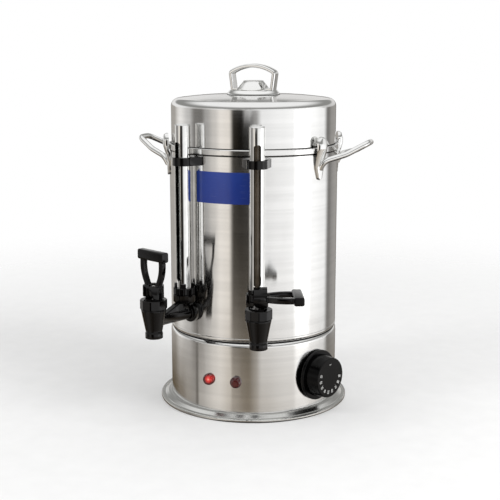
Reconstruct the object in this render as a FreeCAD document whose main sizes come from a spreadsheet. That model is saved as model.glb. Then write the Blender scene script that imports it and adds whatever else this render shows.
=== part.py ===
import FreeCAD, Part
import math
import os
import Sketcher
import types
from FreeCAD import Placement, Rotation, Vector

# Tea urn: steel tank on a round base, deep lid, two lift taps with gauge tubes, lift-out brew pot.
# Origin: centre of the base ring on the table. +Z up, -Y to the front, between the two taps.
# An azimuth is the angle from the front (-Y), growing towards +X.

doc = FreeCAD.newDocument("TeaUrn")
sheet = doc.addObject("Spreadsheet::Sheet", "Sizes")


class Size:
    # a number together with the spreadsheet expression that gives it
    def __init__(self, value, text):
        self.value = value
        self.text = text

    def __add__(self, other):
        other = asSize(other)
        return Size(self.value + other.value, "(%s + %s)" % (self.text, other.text))

    def __radd__(self, other):
        return asSize(other) + self

    def __sub__(self, other):
        other = asSize(other)
        return Size(self.value - other.value, "(%s - %s)" % (self.text, other.text))

    def __rsub__(self, other):
        return asSize(other) - self

    def __mul__(self, other):
        other = asSize(other)
        return Size(self.value * other.value, "(%s * %s)" % (self.text, other.text))

    def __rmul__(self, other):
        return asSize(other) * self

    def __truediv__(self, other):
        other = asSize(other)
        return Size(self.value / other.value, "(%s / %s)" % (self.text, other.text))

    def __neg__(self):
        return Size(-self.value, "(0 - %s)" % self.text)


def asSize(item):
    if isinstance(item, Size):
        return item
    return Size(float(item), "%.6f" % float(item))


def cosine(angle):
    return Size(math.cos(math.radians(angle.value)), "cos(%s)" % angle.text)


def sine(angle):
    return Size(math.sin(math.radians(angle.value)), "sin(%s)" % angle.text)


sizes = {
    # Fits
    "seatGap": 0.3,  # gap between resting or sliding pieces
    "pinGap": 0.05,  # radial gap of a pin or shaft in its hole
    "wall": 1.0,  # steel sheet of tank, base, lid and pot
    # Base
    "baseStep": 0.5,  # base shell outside the tank
    "baseTop": 90.3,  # top of the base shoulder
    "shoulder": 5.0,  # rounded shoulder of the base
    "shelfWidth": 12.5,  # shelf that carries the tank
    "ringWidth": 13.3,  # base ring outside the base shell
    "ringHeight": 7.2,  # base ring, height
    "ringWall": 1.2,  # base ring, wall
    "coverHeight": 7.0,  # bottom cover above the table
    "coverRim": 5.0,  # turned-down rim of the bottom cover
    "ventWidth": 5.0,  # vent slot in the bottom cover
    "ventInner": 30.0,  # vent slots start at this radius
    "ventOuter": 60.0,  # vent slots end at this radius
    "tabStep": 12.5,  # screw circle of the bottom cover inside the base shell
    "tabWidth": 14.0,  # screw tab in the base
    "screwRadius": 2.0,  # cover screw, shank
    "screwHead": 4.0,  # cover screw, head radius
    "screwHeadHeight": 2.4,  # cover screw, head height
    "controlHeight": 44.5,  # height of the knob and the pilot lamps
    "knobAzimuth": 68.5,  # azimuth of the thermostat knob
    "lampAzimuth": 9.5,  # azimuth of each pilot lamp
    "lensRadius": 6.8,  # pilot lamp lens
    "lensReach": 6.0,  # how far a lens stands out
    "lampBarrel": 5.0,  # lamp body, barrel radius
    "lampDepth": 24.0,  # lamp body, depth behind the wall
    "glandHeight": 28.0,  # height of the cable gland
    "glandBore": 3.6,  # bore of the cable gland
    "glandNeck": 6.2,  # half width of the gland's square neck
    "glandReach": 9.0,  # gland on each side of the wall
    "caseLength": 34.0,  # terminal block, length
    "caseWidth": 16.0,  # terminal block, width
    "caseHeight": 14.0,  # terminal block, height
    "caseBore": 2.4,  # terminal block, bore
    "caseBack": 40.0,  # terminal block, distance from the wall
    # Tank
    "tankRadius": 100.0,  # tank, outside
    "rimBottom": 304.6,  # lower edge of the rim band
    "rimHeight": 6.7,  # height of the rim band
    "rimStep": 1.0,  # rim band outside the tank
    "ledgeWidth": 6.5,  # ledge that carries the pot, from the outside of the tank
    "footRound": 3.2,  # rounded lower edge of the tank
    "beadDepth": 0.4,  # groove above the lower edge of the tank
    "floorHeight": 97.0,  # tank floor, upper face
    "floorWall": 1.5,  # tank floor, thickness
    "labelHalf": 18.6,  # half of the angle that the label covers
    "labelBottom": 250.7,  # label plate, lower edge
    "labelHeight": 35.5,  # label plate, height
    "labelWall": 0.5,  # label plate, thickness
    # Heater and thermostat
    "heaterStep": 34.0,  # heating loop inside the tank
    "heaterTube": 4.0,  # heating tube, radius
    "heaterHeight": 108.0,  # height of the heating loop
    "heaterGapAngle": 19.0,  # half of the angle left open in the heating loop
    "heaterBend": 9.0,  # bend from the loop down to a leg
    "heaterLeg": 80.0,  # height where a leg's tube ends
    "terminalRadius": 1.6,  # terminal stud of the heater
    "terminalLength": 10.0,  # terminal stud, length
    "heaterNut": 8.0,  # heater nut, half width across flats
    "heaterNutHeight": 5.0,  # heater nut, height
    "sealWall": 1.5,  # rubber seal, thickness
    "statWidth": 34.0,  # thermostat body, width and height
    "statDepth": 24.0,  # thermostat body, depth
    "statBush": 6.0,  # thermostat bush, radius
    "shaftRadius": 3.0,  # thermostat shaft
    "bulbRadius": 3.0,  # thermostat bulb
    "bulbLength": 46.0,  # thermostat bulb, length
    "capillary": 0.9,  # thermostat capillary
    "capLead": 14.0,  # capillary, straight run past the bulb
    "capDip": 5.0,  # capillary, drop below the bulb
    "capBend": 6.0,  # capillary, bend above the thermostat
    # Knob
    "skirtRadius": 29.6,  # knob, skirt
    "skirtHeight": 4.0,  # knob, skirt thickness
    "dialRadius": 23.5,  # knob, front face
    "dialDraft": 1.6,  # knob, taper of its side
    "knobReach": 21.0,  # knob, depth over all
    # Taps
    "tapAzimuth": 23.0,  # azimuth of each tap
    "tapHeight": 121.5,  # height of the tap arm
    "armRadius": 7.0,  # tap arm
    "armBore": 4.0,  # channel in the tap arm
    "shankRadius": 8.0,  # threaded shank through the tank wall
    "shankReach": 14.0,  # shank inside the tank wall
    "flangeRadius": 11.0,  # tap flange outside the wall
    "flangeWall": 6.0,  # tap flange, thickness
    "lockNut": 12.0,  # lock nut, half width across flats
    "lockNutHeight": 6.0,  # lock nut, height
    "cupStep": 60.5,  # cup axis outside the tank
    "cupBottom": 102.1,  # height of the spout's mouth
    "lipHeight": 6.5,  # spout lip, height
    "lipRadius": 9.3,  # spout lip, radius
    "coneBottom": 8.5,  # cup cone, lower radius
    "coneTop": 13.6,  # cup cone, upper radius
    "bonnetBottom": 136.6,  # bonnet ring, lower edge
    "bonnetHeight": 10.1,  # bonnet ring, height
    "bonnetRadius": 15.2,  # bonnet ring, radius
    "bonnetWall": 1.9,  # bonnet ring, wall
    "chamberRadius": 8.0,  # valve chamber
    "seatHeight": 114.6,  # height of the valve seat
    "outletRadius": 5.5,  # spout bore
    "plugHeight": 9.0,  # seat plug, height
    "stemRadius": 2.4,  # tap stem
    "headHalf": 4.0,  # stem head, half width
    "headTop": 8.5,  # stem head above the pin
    "lift": 5.0,  # stem lift of an open tap
    "camRadius": 8.0,  # cam heel of the tap handle
    "washerWall": 1.0,  # thrust washer
    "washerRadius": 9.5,  # thrust washer, radius
    "pinRadius": 1.5,  # handle pin
    "hubHalf": 11.8,  # handle hub, radius
    "gripReach": 46.5,  # pin to the top of the crossbar
    "gripHeight": 12.5,  # crossbar, height
    "gripDepth": 11.0,  # crossbar, depth
    "gripHalf": 19.0,  # crossbar, half length
    "tineDepth": 6.4,  # fork tine, depth
    "tineWall": 4.2,  # fork tine, width
    "gripCorner": 2.6,  # crossbar, rounded corners
    "forkBow": 48.0,  # radius of the bowed fork tines
    "forkTop": 16.6,  # half of the fork's width under the crossbar
    "springRadius": 5.6,  # return spring, mean radius
    "springWire": 0.5,  # return spring, wire radius
    # Gauges
    "gaugeOut": 14.0,  # gauge axis outside the tank
    "gaugeTop": 336.2,  # top of the gauge shield
    "shieldRadius": 7.8,  # gauge shield, outside
    "shieldWall": 0.8,  # gauge shield, wall
    "slotHalf": 3.5,  # half width of the window slot
    "slotBottom": 160.0,  # lower end of the window slot
    "slotTop": 316.7,  # upper end of the window slot
    "glassRadius": 5.0,  # gauge glass, outside
    "glassWall": 1.2,  # gauge glass, wall
    "glassTop": 326.0,  # top of the gauge glass
    "blockRadius": 13.2,  # gauge block on the tap, across corners
    "blockBottom": 135.4,  # gauge block, lower face
    "blockHeight": 9.6,  # gauge block, height
    "neckRadius": 6.0,  # neck between arm and gauge block
    "nutRadius": 12.5,  # gauge nut
    "nutHeight": 8.0,  # gauge nut, height
    "fingerHeight": 5.0,  # gripping fingers above the gauge nut
    "clipBottom": 291.4,  # gauge clip, lower face
    "clipHeight": 10.0,  # gauge clip, height
    "clipWall": 2.2,  # gauge clip, wall
    "clipHalf": 13.6,  # gauge clip, half width on the tank
    # Side handles
    "handleAzimuth": 94.0,  # azimuth of the right-hand side handle
    "footAngle": 25.0,  # azimuth between a side handle and each of its feet
    "footBottom": 270.0,  # side handle foot, lower end
    "footTop": 322.0,  # side handle foot, upper end
    "footHalf": 8.0,  # side handle foot, half width
    "footThick": 3.2,  # side handle foot, thickness
    "barRadius": 4.2,  # side handle bar
    "handleOut": 46.0,  # side handle, outer bar outside the tank
    "handleRise": 314.5,  # height of the outer bar
    "barRoot": 290.5,  # height where a bar leaves its foot
    "barEnd": 24.0,  # half length of the outer bar, over its corners
    "barCorner": 13.0,  # corner of the side handle
    "barKnee": 11.0,  # height of the bar's knee above its root
    "kneeBend": 16.0,  # bend at the knee of the side handle
    # Brew pot
    "potStep": 16.0,  # brew pot inside the tank
    "potBottom": 190.0,  # brew pot, underside
    "potRound": 8.0,  # rounded lower edge of the brew pot
    "flangeStep": 1.8,  # brew pot flange inside the outside of the tank
    "outletStep": 40.0,  # tea outlet inside the tank
    "pipeRadius": 5.0,  # tea outlet pipe
    "pipeBottom": 126.0,  # lower end of the tea outlet pipe
    "socketRadius": 9.0,  # tea socket in the tank
    "socketTop": 142.0,  # mouth of the tea socket
    "strainerRadius": 12.5,  # tea strainer
    "strainerHeight": 16.0,  # tea strainer, height
    "strainerHole": 1.3,  # hole in the tea strainer
    # Lid
    "lidStep": 2.4,  # lid inside the tank
    "lidRise": 54.1,  # rounded edge of the lid above the rim
    "lidRound": 9.0,  # rounded edge of the lid
    "bossRise": 4.1,  # flat centre of the lid above its edge
    "domeRadius": 420.0,  # lid, radius of its shallow dome
    "bossRadius": 33.0,  # flat centre of the lid, radius
    "plateRadius": 31.0,  # handle plate of the lid
    "plateWall": 1.5,  # handle plate, wall
    "plateEdge": 1.1,  # handle plate, height of its edge
    "plateFlat": 4.9,  # handle plate, height of its flange
    "plateTop": 16.0,  # handle plate, height over all
    "plateCone": 10.5,  # handle plate, radius of its top
    "plateFoot": 19.0,  # handle plate, radius where its cone starts
    "strapFoot": 22.8,  # lid strap, outside at its feet
    "strapKnee": 26.6,  # lid strap, outside at its knees
    "kneeHeight": 24.5,  # lid strap, height of its knees over the lid
    "strapTop": 39.0,  # lid strap, height over the lid
    "strapWall": 2.6,  # lid strap, thickness
    "strapArch": 31.65,  # lid strap, radius of its arch
    "tabEnd": 13.6,  # lid strap, inner end of its tabs
    "lidScrew": 1.8,  # lid screw, radius
    "strapDepth": 15.0,  # lid strap, width of the band
}
# Counts are set here, because they are no lengths
ventCount = 8
springTurns = 5
strainerHoles = 10
strainerRings = 3

# Every size goes into the sheet under its own name, and from there into the expressions
urn = types.SimpleNamespace()
for row, (alias, value) in enumerate(sizes.items(), start=1):
    sheet.set("A%d" % row, alias)
    sheet.set("B%d" % row, "%g" % value)
    sheet.setAlias("B%d" % row, alias)
    setattr(urn, alias, Size(value, "Sizes." + alias))
doc.recompute()

# Radii that follow the tank
urn.baseRadius = urn.tankRadius + urn.baseStep
urn.shelfRadius = urn.baseRadius - urn.shelfWidth
urn.ringRadius = urn.baseRadius + urn.ringWidth
urn.tabRadius = urn.baseRadius - urn.tabStep
urn.rimRadius = urn.tankRadius + urn.rimStep
urn.ledgeRadius = urn.tankRadius - urn.ledgeWidth
urn.heaterLoop = urn.tankRadius - urn.heaterStep
urn.cupAxis = urn.tankRadius + urn.cupStep
urn.gaugeAxis = urn.tankRadius + urn.gaugeOut
urn.handleReach = urn.tankRadius + urn.handleOut
urn.potRadius = urn.tankRadius - urn.potStep
urn.flangeEdge = urn.tankRadius - urn.flangeStep
urn.outletAxis = urn.tankRadius - urn.outletStep
urn.lidRadius = urn.tankRadius - urn.lidStep
urn.lidTop = urn.rimBottom + urn.rimHeight + urn.lidRise
urn.lidBoss = urn.lidTop + urn.bossRise


def bind(item, prop, size):
    item.setExpression(prop, asSize(size).text)


def newBody(name):
    body = doc.addObject("PartDesign::Body", name + "_body")
    body.AllowCompound = True
    return body


def originPart(body, role):
    for feature in body.Origin.OriginFeatures:
        if feature.Role == role:
            return feature


def newSketch(body, name, role, offset=None, turn=None):
    # a sketch on an origin plane of its body, moved along the plane's normal or turned about its Y
    sketch = body.newObject("Sketcher::SketchObject", name)
    sketch.AttachmentSupport = [(originPart(body, role), "")]
    sketch.MapMode = "FlatFace"
    if turn is not None:
        sketch.AttachmentOffset = Placement(Vector(), Rotation(Vector(0, 1, 0), turn.value))
        bind(sketch, "AttachmentOffset.Rotation.Angle", turn)
    if offset is not None:
        bind(sketch, "AttachmentOffset.Base.z", offset)
    return sketch


def arcCentre(first, last, radius, side):
    # centre of the arc from first to last; side 1 turns anticlockwise, -1 clockwise
    middle = (first + last) * 0.5
    half = (last - first) * 0.5
    rise = math.sqrt(max(radius * radius - half.Length ** 2, 0.0))
    across = Vector(-half.y, half.x, 0).normalize() * rise * side
    return middle + across


def drawOutline(sketch, corners):
    # corners: (x, y) ends a straight side, (x, y, radius, side) ends an arc
    spots = [Vector(asSize(c[0]).value, asSize(c[1]).value, 0) for c in corners]
    geometry = []
    for index, corner in enumerate(corners):
        first = spots[index - 1]
        last = spots[index]
        if len(corner) == 2:
            geometry.append(sketch.addGeometry(Part.LineSegment(first, last)))
            continue
        radius = asSize(corner[2]).value
        side = corner[3]
        centre = arcCentre(first, last, radius, side)
        start = math.atan2(first.y - centre.y, first.x - centre.x)
        end = math.atan2(last.y - centre.y, last.x - centre.x)
        if side < 0:
            start, end = end, start
        circle = Part.Circle(centre, Vector(0, 0, 1), radius)
        geometry.append(sketch.addGeometry(Part.ArcOfCircle(circle, start, end)))
    ends = []
    for corner in corners:
        ends.append((1, 2) if len(corner) == 2 or corner[3] > 0 else (2, 1))
    for index in range(len(corners)):
        following = (index + 1) % len(corners)
        sketch.addConstraint(Sketcher.Constraint(
            "Coincident", geometry[index], ends[index][1], geometry[following], ends[following][0]))
    for index, corner in enumerate(corners):
        fixPoint(sketch, geometry[index], ends[index][1], corner[0], corner[1])
        if len(corner) > 2:
            fixArc(sketch, geometry[index], corners[index - 1], corner)


def fixArc(sketch, geometry, before, corner):
    # a half circle is held by its centre, any other arc by its radius
    across = [asSize(before[0]), asSize(corner[0])]
    up = [asSize(before[1]), asSize(corner[1])]
    chord = Vector(across[1].value - across[0].value, up[1].value - up[0].value, 0)
    radius = asSize(corner[2])
    if abs(chord.Length - 2 * radius.value) > 1e-6:
        number = sketch.addConstraint(Sketcher.Constraint("Radius", geometry, radius.value))
        sketch.setExpression("Constraints[%d]" % number, radius.text)
        return
    flat = abs(chord.x) > abs(chord.y)
    size = (up[0] + up[1]) / 2 if flat else (across[0] + across[1]) / 2
    kind = "DistanceY" if flat else "DistanceX"
    number = sketch.addConstraint(Sketcher.Constraint(kind, -1, 1, geometry, 3, size.value))
    sketch.setExpression("Constraints[%d]" % number, size.text)


def fixPoint(sketch, geometry, point, across, up):
    for kind, size, axis in (("DistanceX", asSize(across), -2), ("DistanceY", asSize(up), -1)):
        if abs(size.value) < 1e-9:
            sketch.addConstraint(Sketcher.Constraint("PointOnObject", geometry, point, axis))
            continue
        number = sketch.addConstraint(Sketcher.Constraint(kind, -1, 1, geometry, point, size.value))
        sketch.setExpression("Constraints[%d]" % number, size.text)


def drawCircle(sketch, across, up, radius):
    across = asSize(across)
    up = asSize(up)
    radius = asSize(radius)
    circle = Part.Circle(Vector(across.value, up.value, 0), Vector(0, 0, 1), radius.value)
    index = sketch.addGeometry(circle)
    if abs(across.value) < 1e-9 and abs(up.value) < 1e-9:
        sketch.addConstraint(Sketcher.Constraint("Coincident", index, 3, -1, 1))
    else:
        fixPoint(sketch, index, 3, across, up)
    number = sketch.addConstraint(Sketcher.Constraint("Radius", index, radius.value))
    sketch.setExpression("Constraints[%d]" % number, radius.text)


def drawRectangle(sketch, halfWidth, halfHeight, middle=0):
    drawOutline(sketch, [
        (halfWidth, middle + halfHeight),
        (-halfWidth, middle + halfHeight),
        (-halfWidth, middle - halfHeight),
        (halfWidth, middle - halfHeight),
    ])


def drawPolygon(sketch, across, up, inner, sides):
    # a regular polygon; inner is the radius of the circle that its sides touch
    inner = asSize(inner)
    corners = []
    outer = inner / math.cos(math.pi / sides)
    for step in range(sides):
        angle = 2 * math.pi * (step + 0.5) / sides
        corners.append((asSize(across) + outer * math.cos(angle), asSize(up) + outer * math.sin(angle)))
    drawOutline(sketch, corners)


def revolve(body, name, corners, angle=None, cut=False):
    # a profile in radius and height, turned about the body's Z axis
    sketch = newSketch(body, name + "_profile", "XZ_Plane")
    drawOutline(sketch, corners)
    feature = body.newObject("PartDesign::Groove" if cut else "PartDesign::Revolution", name)
    feature.Profile = sketch
    feature.ReferenceAxis = (sketch, ["V_Axis"])
    feature.Angle = 360
    if angle is not None:
        feature.Midplane = True
        bind(feature, "Angle", angle)
    return feature


def pad(body, name, sketch, length, middle=False, reverse=False, cut=False):
    feature = body.newObject("PartDesign::Pocket" if cut else "PartDesign::Pad", name)
    feature.Profile = sketch
    bind(feature, "Length", length)
    if middle:
        feature.SideType = "Symmetric"
    feature.Reversed = reverse
    return feature


def boreRadially(body, name, azimuth, height, radius, reach):
    # a round hole from the urn's axis outwards
    sketch = newSketch(body, name + "_sketch", "XZ_Plane", turn=azimuth)
    drawCircle(sketch, 0, height, radius)
    return pad(body, name, sketch, reach, reverse=True, cut=True)


def polarPattern(body, name, originals, count):
    feature = body.newObject("PartDesign::PolarPattern", name)
    feature.Originals = originals
    feature.Axis = (originPart(body, "Z_Axis"), [""])
    feature.Angle = 360
    feature.Occurrences = count
    body.Tip = feature
    return feature


def matchingEdges(shape, test):
    return ["Edge%d" % (index + 1) for index, edge in enumerate(shape.Edges) if test(edge)]


def roundEdges(body, name, radius, test, chamfer=False):
    # rounds the edges of the body's last feature that pass the test
    doc.recompute()
    base = body.Tip
    kind = "PartDesign::Chamfer" if chamfer else "PartDesign::Fillet"
    feature = body.newObject(kind, name)
    feature.Base = (base, matchingEdges(base.Shape, test))
    bind(feature, "Size" if chamfer else "Radius", radius)
    return feature


exported = []


def finish(name, item, azimuth=None, along=None, height=None, spin=0):
    # labels a finished piece and puts it in its place; spin turns it about its own axis as well
    item.Label = name
    if azimuth is not None:
        turn = azimuth + spin
        item.Placement = Placement(Vector(), Rotation(Vector(0, 0, 1), turn.value))
        bind(item, "Placement.Rotation.Angle", turn)
        if along is not None:
            bind(item, "Placement.Base.x", sine(azimuth) * along)
            bind(item, "Placement.Base.y", -(cosine(azimuth) * along))
    if height is not None:
        bind(item, "Placement.Base.z", height)
    exported.append(item)
    return item


def primitive(kind, name, **sizes):
    item = doc.addObject("Part::" + kind, name)
    for prop, size in sizes.items():
        bind(item, prop.replace("_", "."), size)
    return item


def cylinder(name, radius, height, base=None, direction=None):
    item = primitive("Cylinder", name, Radius=radius, Height=height)
    if direction is not None:
        item.Placement = Placement(Vector(), Rotation(Vector(0, 0, 1), Vector(*direction)))
    for axis, size in zip("xyz", base or ()):
        bind(item, "Placement.Base." + axis, size)
    return item


def box(name, length, width, height, base):
    item = primitive("Box", name, Length=length, Width=width, Height=height)
    for axis, size in zip("xyz", base):
        bind(item, "Placement.Base." + axis, size)
    return item


def fuse(name, items):
    item = doc.addObject("Part::MultiFuse", name)
    item.Shapes = items
    item.Refine = True
    return item


def cut(name, base, tool):
    item = doc.addObject("Part::Cut", name)
    item.Base = base
    item.Tool = tool
    item.Refine = True
    return item


def common(name, items):
    item = doc.addObject("Part::MultiCommon", name)
    item.Shapes = items
    item.Refine = True
    return item


def group(name, items):
    item = doc.addObject("Part::Compound", name)
    item.Links = items
    return item


def solidFeature(name, shape):
    item = doc.addObject("Part::Feature", name)
    item.Shape = shape
    return item


def bentPath(points, radii):
    # straight runs joined by tangent arcs; radii holds one radius for each inner point
    edges = []
    start = points[0]
    for index, radius in enumerate(radii):
        corner = points[index + 1]
        before = (points[index] - corner).normalize()
        after = (points[index + 2] - corner).normalize()
        turn = before.getAngle(after)
        reach = radius / math.tan(turn / 2)
        first = corner + before * reach
        last = corner + after * reach
        middle = (before + after).normalize()
        centre = corner + middle * (radius / math.sin(turn / 2))
        edges.append(Part.LineSegment(start, first).toShape())
        edges.append(Part.Arc(first, centre - middle * radius, last).toShape())
        start = last
    edges.append(Part.LineSegment(start, points[-1]).toShape())
    return Part.Wire(edges)


def arcBetween(first, crossing, last):
    # the arc that touches both lines to the point where they cross
    middle = (first + last) * 0.5
    weight = (first - middle).Length / (first - crossing).Length
    return Part.Arc(first, (middle + crossing * weight) * (1 / (1 + weight)), last).toShape()


def coilPath(radius, height, turns):
    # each quarter turn of the coil is two tangent arcs
    quarters = turns * 4
    slope = height / (turns * 2 * math.pi)
    length = math.hypot(radius, slope)
    places = []
    for number in range(quarters + 1):
        angle = number * math.pi / 2
        place = Vector(radius * math.cos(angle), radius * math.sin(angle), slope * angle)
        tangent = Vector(-radius * math.sin(angle), radius * math.cos(angle), slope) * (1 / length)
        places.append((place, tangent))
    edges = []
    for (first, leaving), (last, arriving) in zip(places, places[1:]):
        span = last - first
        turned = 2 * (1 - leaving.dot(arriving))
        along = span.dot(leaving + arriving)
        reach = (math.sqrt(along * along + turned * span.dot(span)) - along) / turned
        crossing = first + leaving * reach
        crossingLast = last - arriving * reach
        joint = (crossing + crossingLast) * 0.5
        edges.append(arcBetween(first, crossing, joint))
        edges.append(arcBetween(joint, crossingLast, last))
    return Part.Wire(edges)


def sweepCircle(path, radius):
    start = path.Edges[0]
    tangent = start.tangentAt(start.FirstParameter)
    ring = Part.Wire([Part.makeCircle(radius, start.valueAt(start.FirstParameter), tangent)])
    return path.makePipeShell([ring], True, False)


# Heights that several pieces share
lidSeat = urn.rimBottom + urn.rimHeight
ledgeHeight = urn.rimBottom + urn.rimHeight * 0.2
potFlangeBottom = ledgeHeight + urn.wall + urn.seatGap
lidBottom = potFlangeBottom + urn.wall + urn.seatGap
bonnetTop = urn.bonnetBottom + urn.bonnetHeight
washerTop = bonnetTop + urn.seatGap + urn.washerWall
camOffset = urn.lift / 2
pinHeight = washerTop + urn.seatGap + urn.camRadius - camOffset
nutBottom = urn.blockBottom + urn.blockHeight
nutTop = nutBottom + urn.nutHeight
innerTank = urn.tankRadius - urn.wall
innerBase = urn.baseRadius - urn.wall
statFront = innerBase - urn.statWidth * urn.statWidth / (innerBase * 8) - urn.seatGap
statMiddle = statFront - urn.statDepth / 2
plugBottom = urn.seatHeight + urn.seatGap
plugTop = plugBottom + urn.plugHeight
collarTop = plugTop + urn.wall
bonnetCeiling = bonnetTop - urn.bonnetWall
cupRim = urn.bonnetRadius - urn.bonnetWall - urn.seatGap
nutFace = innerTank - urn.sealWall * 1.5
sealPlane = urn.tankRadius + urn.sealWall
shankEnd = innerTank - urn.shankReach
glassBottom = nutBottom + 2.5
gaugeStep = nutBottom + urn.nutHeight / 2
potFloor = urn.potBottom + urn.wall


# Base
def makeBaseShell():
    body = newBody("base_shell")
    revolve(body, "base_wall", [
        (innerBase, urn.ringWall),
        (urn.baseRadius, urn.ringWall),
        (urn.baseRadius, urn.baseTop - urn.shoulder),
        (urn.baseRadius - urn.shoulder, urn.baseTop, urn.shoulder, 1),
        (urn.shelfRadius, urn.baseTop),
        (urn.shelfRadius, urn.baseTop - urn.wall),
        (urn.baseRadius - urn.shoulder, urn.baseTop - urn.wall),
        (innerBase, urn.baseTop - urn.shoulder, urn.shoulder - urn.wall, -1),
    ])
    tab = newSketch(body, "tab_sketch", "XY_Plane", offset=urn.coverHeight + urn.wall)
    drawOutline(tab, [
        (-urn.tabWidth / 2, urn.tabRadius - urn.tabWidth / 2),
        (urn.tabWidth / 2, urn.tabRadius - urn.tabWidth / 2),
        (urn.tabWidth / 2, innerBase + urn.wall * 0.7),
        (-urn.tabWidth / 2, innerBase + urn.wall * 0.7),
    ])
    tabPad = pad(body, "screw_tab", tab, urn.wall * 2)
    polarPattern(body, "screw_tabs", [tabPad], 3)
    hole = newSketch(body, "tab_hole_sketch", "XY_Plane", offset=urn.coverHeight + urn.wall * 4)
    drawCircle(hole, 0, urn.tabRadius, urn.screwRadius)
    tabHole = pad(body, "tab_hole", hole, urn.wall * 6, cut=True)
    polarPattern(body, "tab_holes", [tabHole], 3)
    outside = urn.baseRadius + urn.wall
    height = urn.controlHeight
    boreRadially(body, "shaft_hole", urn.knobAzimuth, height, urn.shaftRadius + urn.seatGap * 2, outside)
    for side, azimuth in (("left", -urn.lampAzimuth), ("right", urn.lampAzimuth)):
        boreRadially(body, "lamp_hole_" + side, azimuth, height, urn.lampBarrel + urn.seatGap, outside)
    opening = newSketch(body, "gland_hole_sketch", "XZ_Plane", offset=-urn.baseRadius - urn.wall)
    drawRectangle(opening, urn.glandNeck + urn.seatGap, urn.glandNeck + urn.seatGap, urn.glandHeight)
    pad(body, "gland_hole", opening, urn.wall * 3, reverse=True, cut=True)
    finish("base_shell", body)


def makeBaseRing():
    body = newBody("base_ring")
    lip = urn.ringRadius - urn.ringWall * 2.6
    revolve(body, "ring_section", [
        (lip, 0),
        (urn.ringRadius - urn.ringWall * 1.4, 0),
        (urn.ringRadius, urn.ringWall * 1.4, urn.ringWall * 1.4, 1),
        (urn.ringRadius, urn.ringHeight * 0.4),
        (urn.ringRadius - urn.ringWall, urn.ringHeight * 0.4 + urn.ringWall, urn.ringWall, 1),
        (urn.ringRadius - urn.ringWall * 2.6, urn.ringHeight * 0.4 + urn.ringWall),
        (urn.ringRadius - urn.ringWall * 3, urn.ringHeight * 0.4 + urn.ringWall / 2),
        (urn.ringRadius - urn.ringWall * 3.6, urn.ringHeight * 0.4 + urn.ringWall / 2),
        (urn.ringRadius - urn.ringWall * 4, urn.ringHeight * 0.4 + urn.ringWall * 1.2),
        (urn.baseRadius + urn.ringWall * 3.6, urn.ringHeight - urn.ringWall / 3),
        (urn.baseRadius + urn.ringWall * 1.6, urn.ringHeight),
        (urn.baseRadius + urn.ringWall * 1.1, urn.ringHeight - urn.ringWall / 3),
        (urn.baseRadius, urn.ringHeight - urn.ringWall / 3),
        (urn.baseRadius, urn.ringWall),
        (urn.baseRadius + urn.ringWall, urn.ringWall),
        (urn.baseRadius + urn.ringWall, urn.ringHeight - urn.ringWall * 1.6),
        (urn.baseRadius + urn.ringWall * 3.4, urn.ringHeight - urn.ringWall * 1.6),
        (lip, urn.ringHeight * 0.4 - urn.ringWall / 2),
    ])
    finish("base_ring", body)


def makeBottomCover():
    body = newBody("bottom_cover")
    edge = innerBase - urn.seatGap
    revolve(body, "cover_pan", [
        (0, urn.coverHeight),
        (edge - urn.wall, urn.coverHeight),
        (edge - urn.wall, urn.coverHeight - urn.coverRim),
        (edge, urn.coverHeight - urn.coverRim),
        (edge, urn.coverHeight + urn.wall),
        (0, urn.coverHeight + urn.wall),
    ])
    slot = newSketch(body, "vent_sketch", "XY_Plane", offset=urn.coverHeight + urn.wall * 2)
    half = urn.ventWidth / 2
    drawOutline(slot, [
        (half, urn.ventOuter),
        (-half, urn.ventOuter, half, 1),
        (-half, urn.ventInner),
        (half, urn.ventInner, half, 1),
    ])
    vent = pad(body, "vent_slot", slot, urn.wall * 3, cut=True)
    polarPattern(body, "vent_slots", [vent], ventCount)
    hole = newSketch(body, "cover_hole_sketch", "XY_Plane", offset=urn.coverHeight + urn.wall * 2)
    drawCircle(hole, 0, urn.tabRadius, urn.screwRadius)
    screwHole = pad(body, "cover_hole", hole, urn.wall * 3, cut=True)
    polarPattern(body, "cover_holes", [screwHole], 3)
    finish("bottom_cover", body)


def makeCoverScrews():
    body = newBody("cover_screws")
    head = newSketch(body, "screw_head_sketch", "XY_Plane", offset=urn.coverHeight - urn.screwHeadHeight)
    drawCircle(head, 0, urn.tabRadius, urn.screwHead)
    headPad = pad(body, "screw_head", head, urn.screwHeadHeight)
    shank = newSketch(body, "screw_shank_sketch", "XY_Plane", offset=urn.coverHeight - urn.wall / 2)
    drawCircle(shank, 0, urn.tabRadius, urn.screwRadius)
    shankPad = pad(body, "screw_shank", shank, urn.wall * 6)
    polarPattern(body, "screws", [headPad, shankPad], 3)
    finish("cover_screws", body)


def makeTankShell():
    body = newBody("tank_shell")
    beadHeight = urn.baseTop + urn.footRound + urn.wall * 1.5
    revolve(body, "tank_wall", [
        (urn.shelfRadius + urn.wall * 2, urn.baseTop),
        (urn.tankRadius - urn.footRound, urn.baseTop),
        (urn.tankRadius, urn.baseTop + urn.footRound, urn.footRound, 1),
        (urn.tankRadius, beadHeight),
        (urn.tankRadius - urn.beadDepth, beadHeight + urn.beadDepth),
        (urn.tankRadius, beadHeight + urn.beadDepth * 2),
        (urn.tankRadius, urn.rimBottom),
        (innerTank, urn.rimBottom),
        (innerTank, urn.baseTop + urn.footRound),
        (urn.tankRadius - urn.footRound, urn.baseTop + urn.wall, urn.footRound - urn.wall, -1),
        (urn.shelfRadius + urn.wall * 2, urn.baseTop + urn.wall),
    ])
    for side, azimuth in (("left", -urn.tapAzimuth), ("right", urn.tapAzimuth)):
        outside = urn.tankRadius + urn.wall
        boreRadially(body, "tap_hole_" + side, azimuth, urn.tapHeight, urn.shankRadius + urn.seatGap, outside)
    finish("tank_shell", body)


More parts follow.
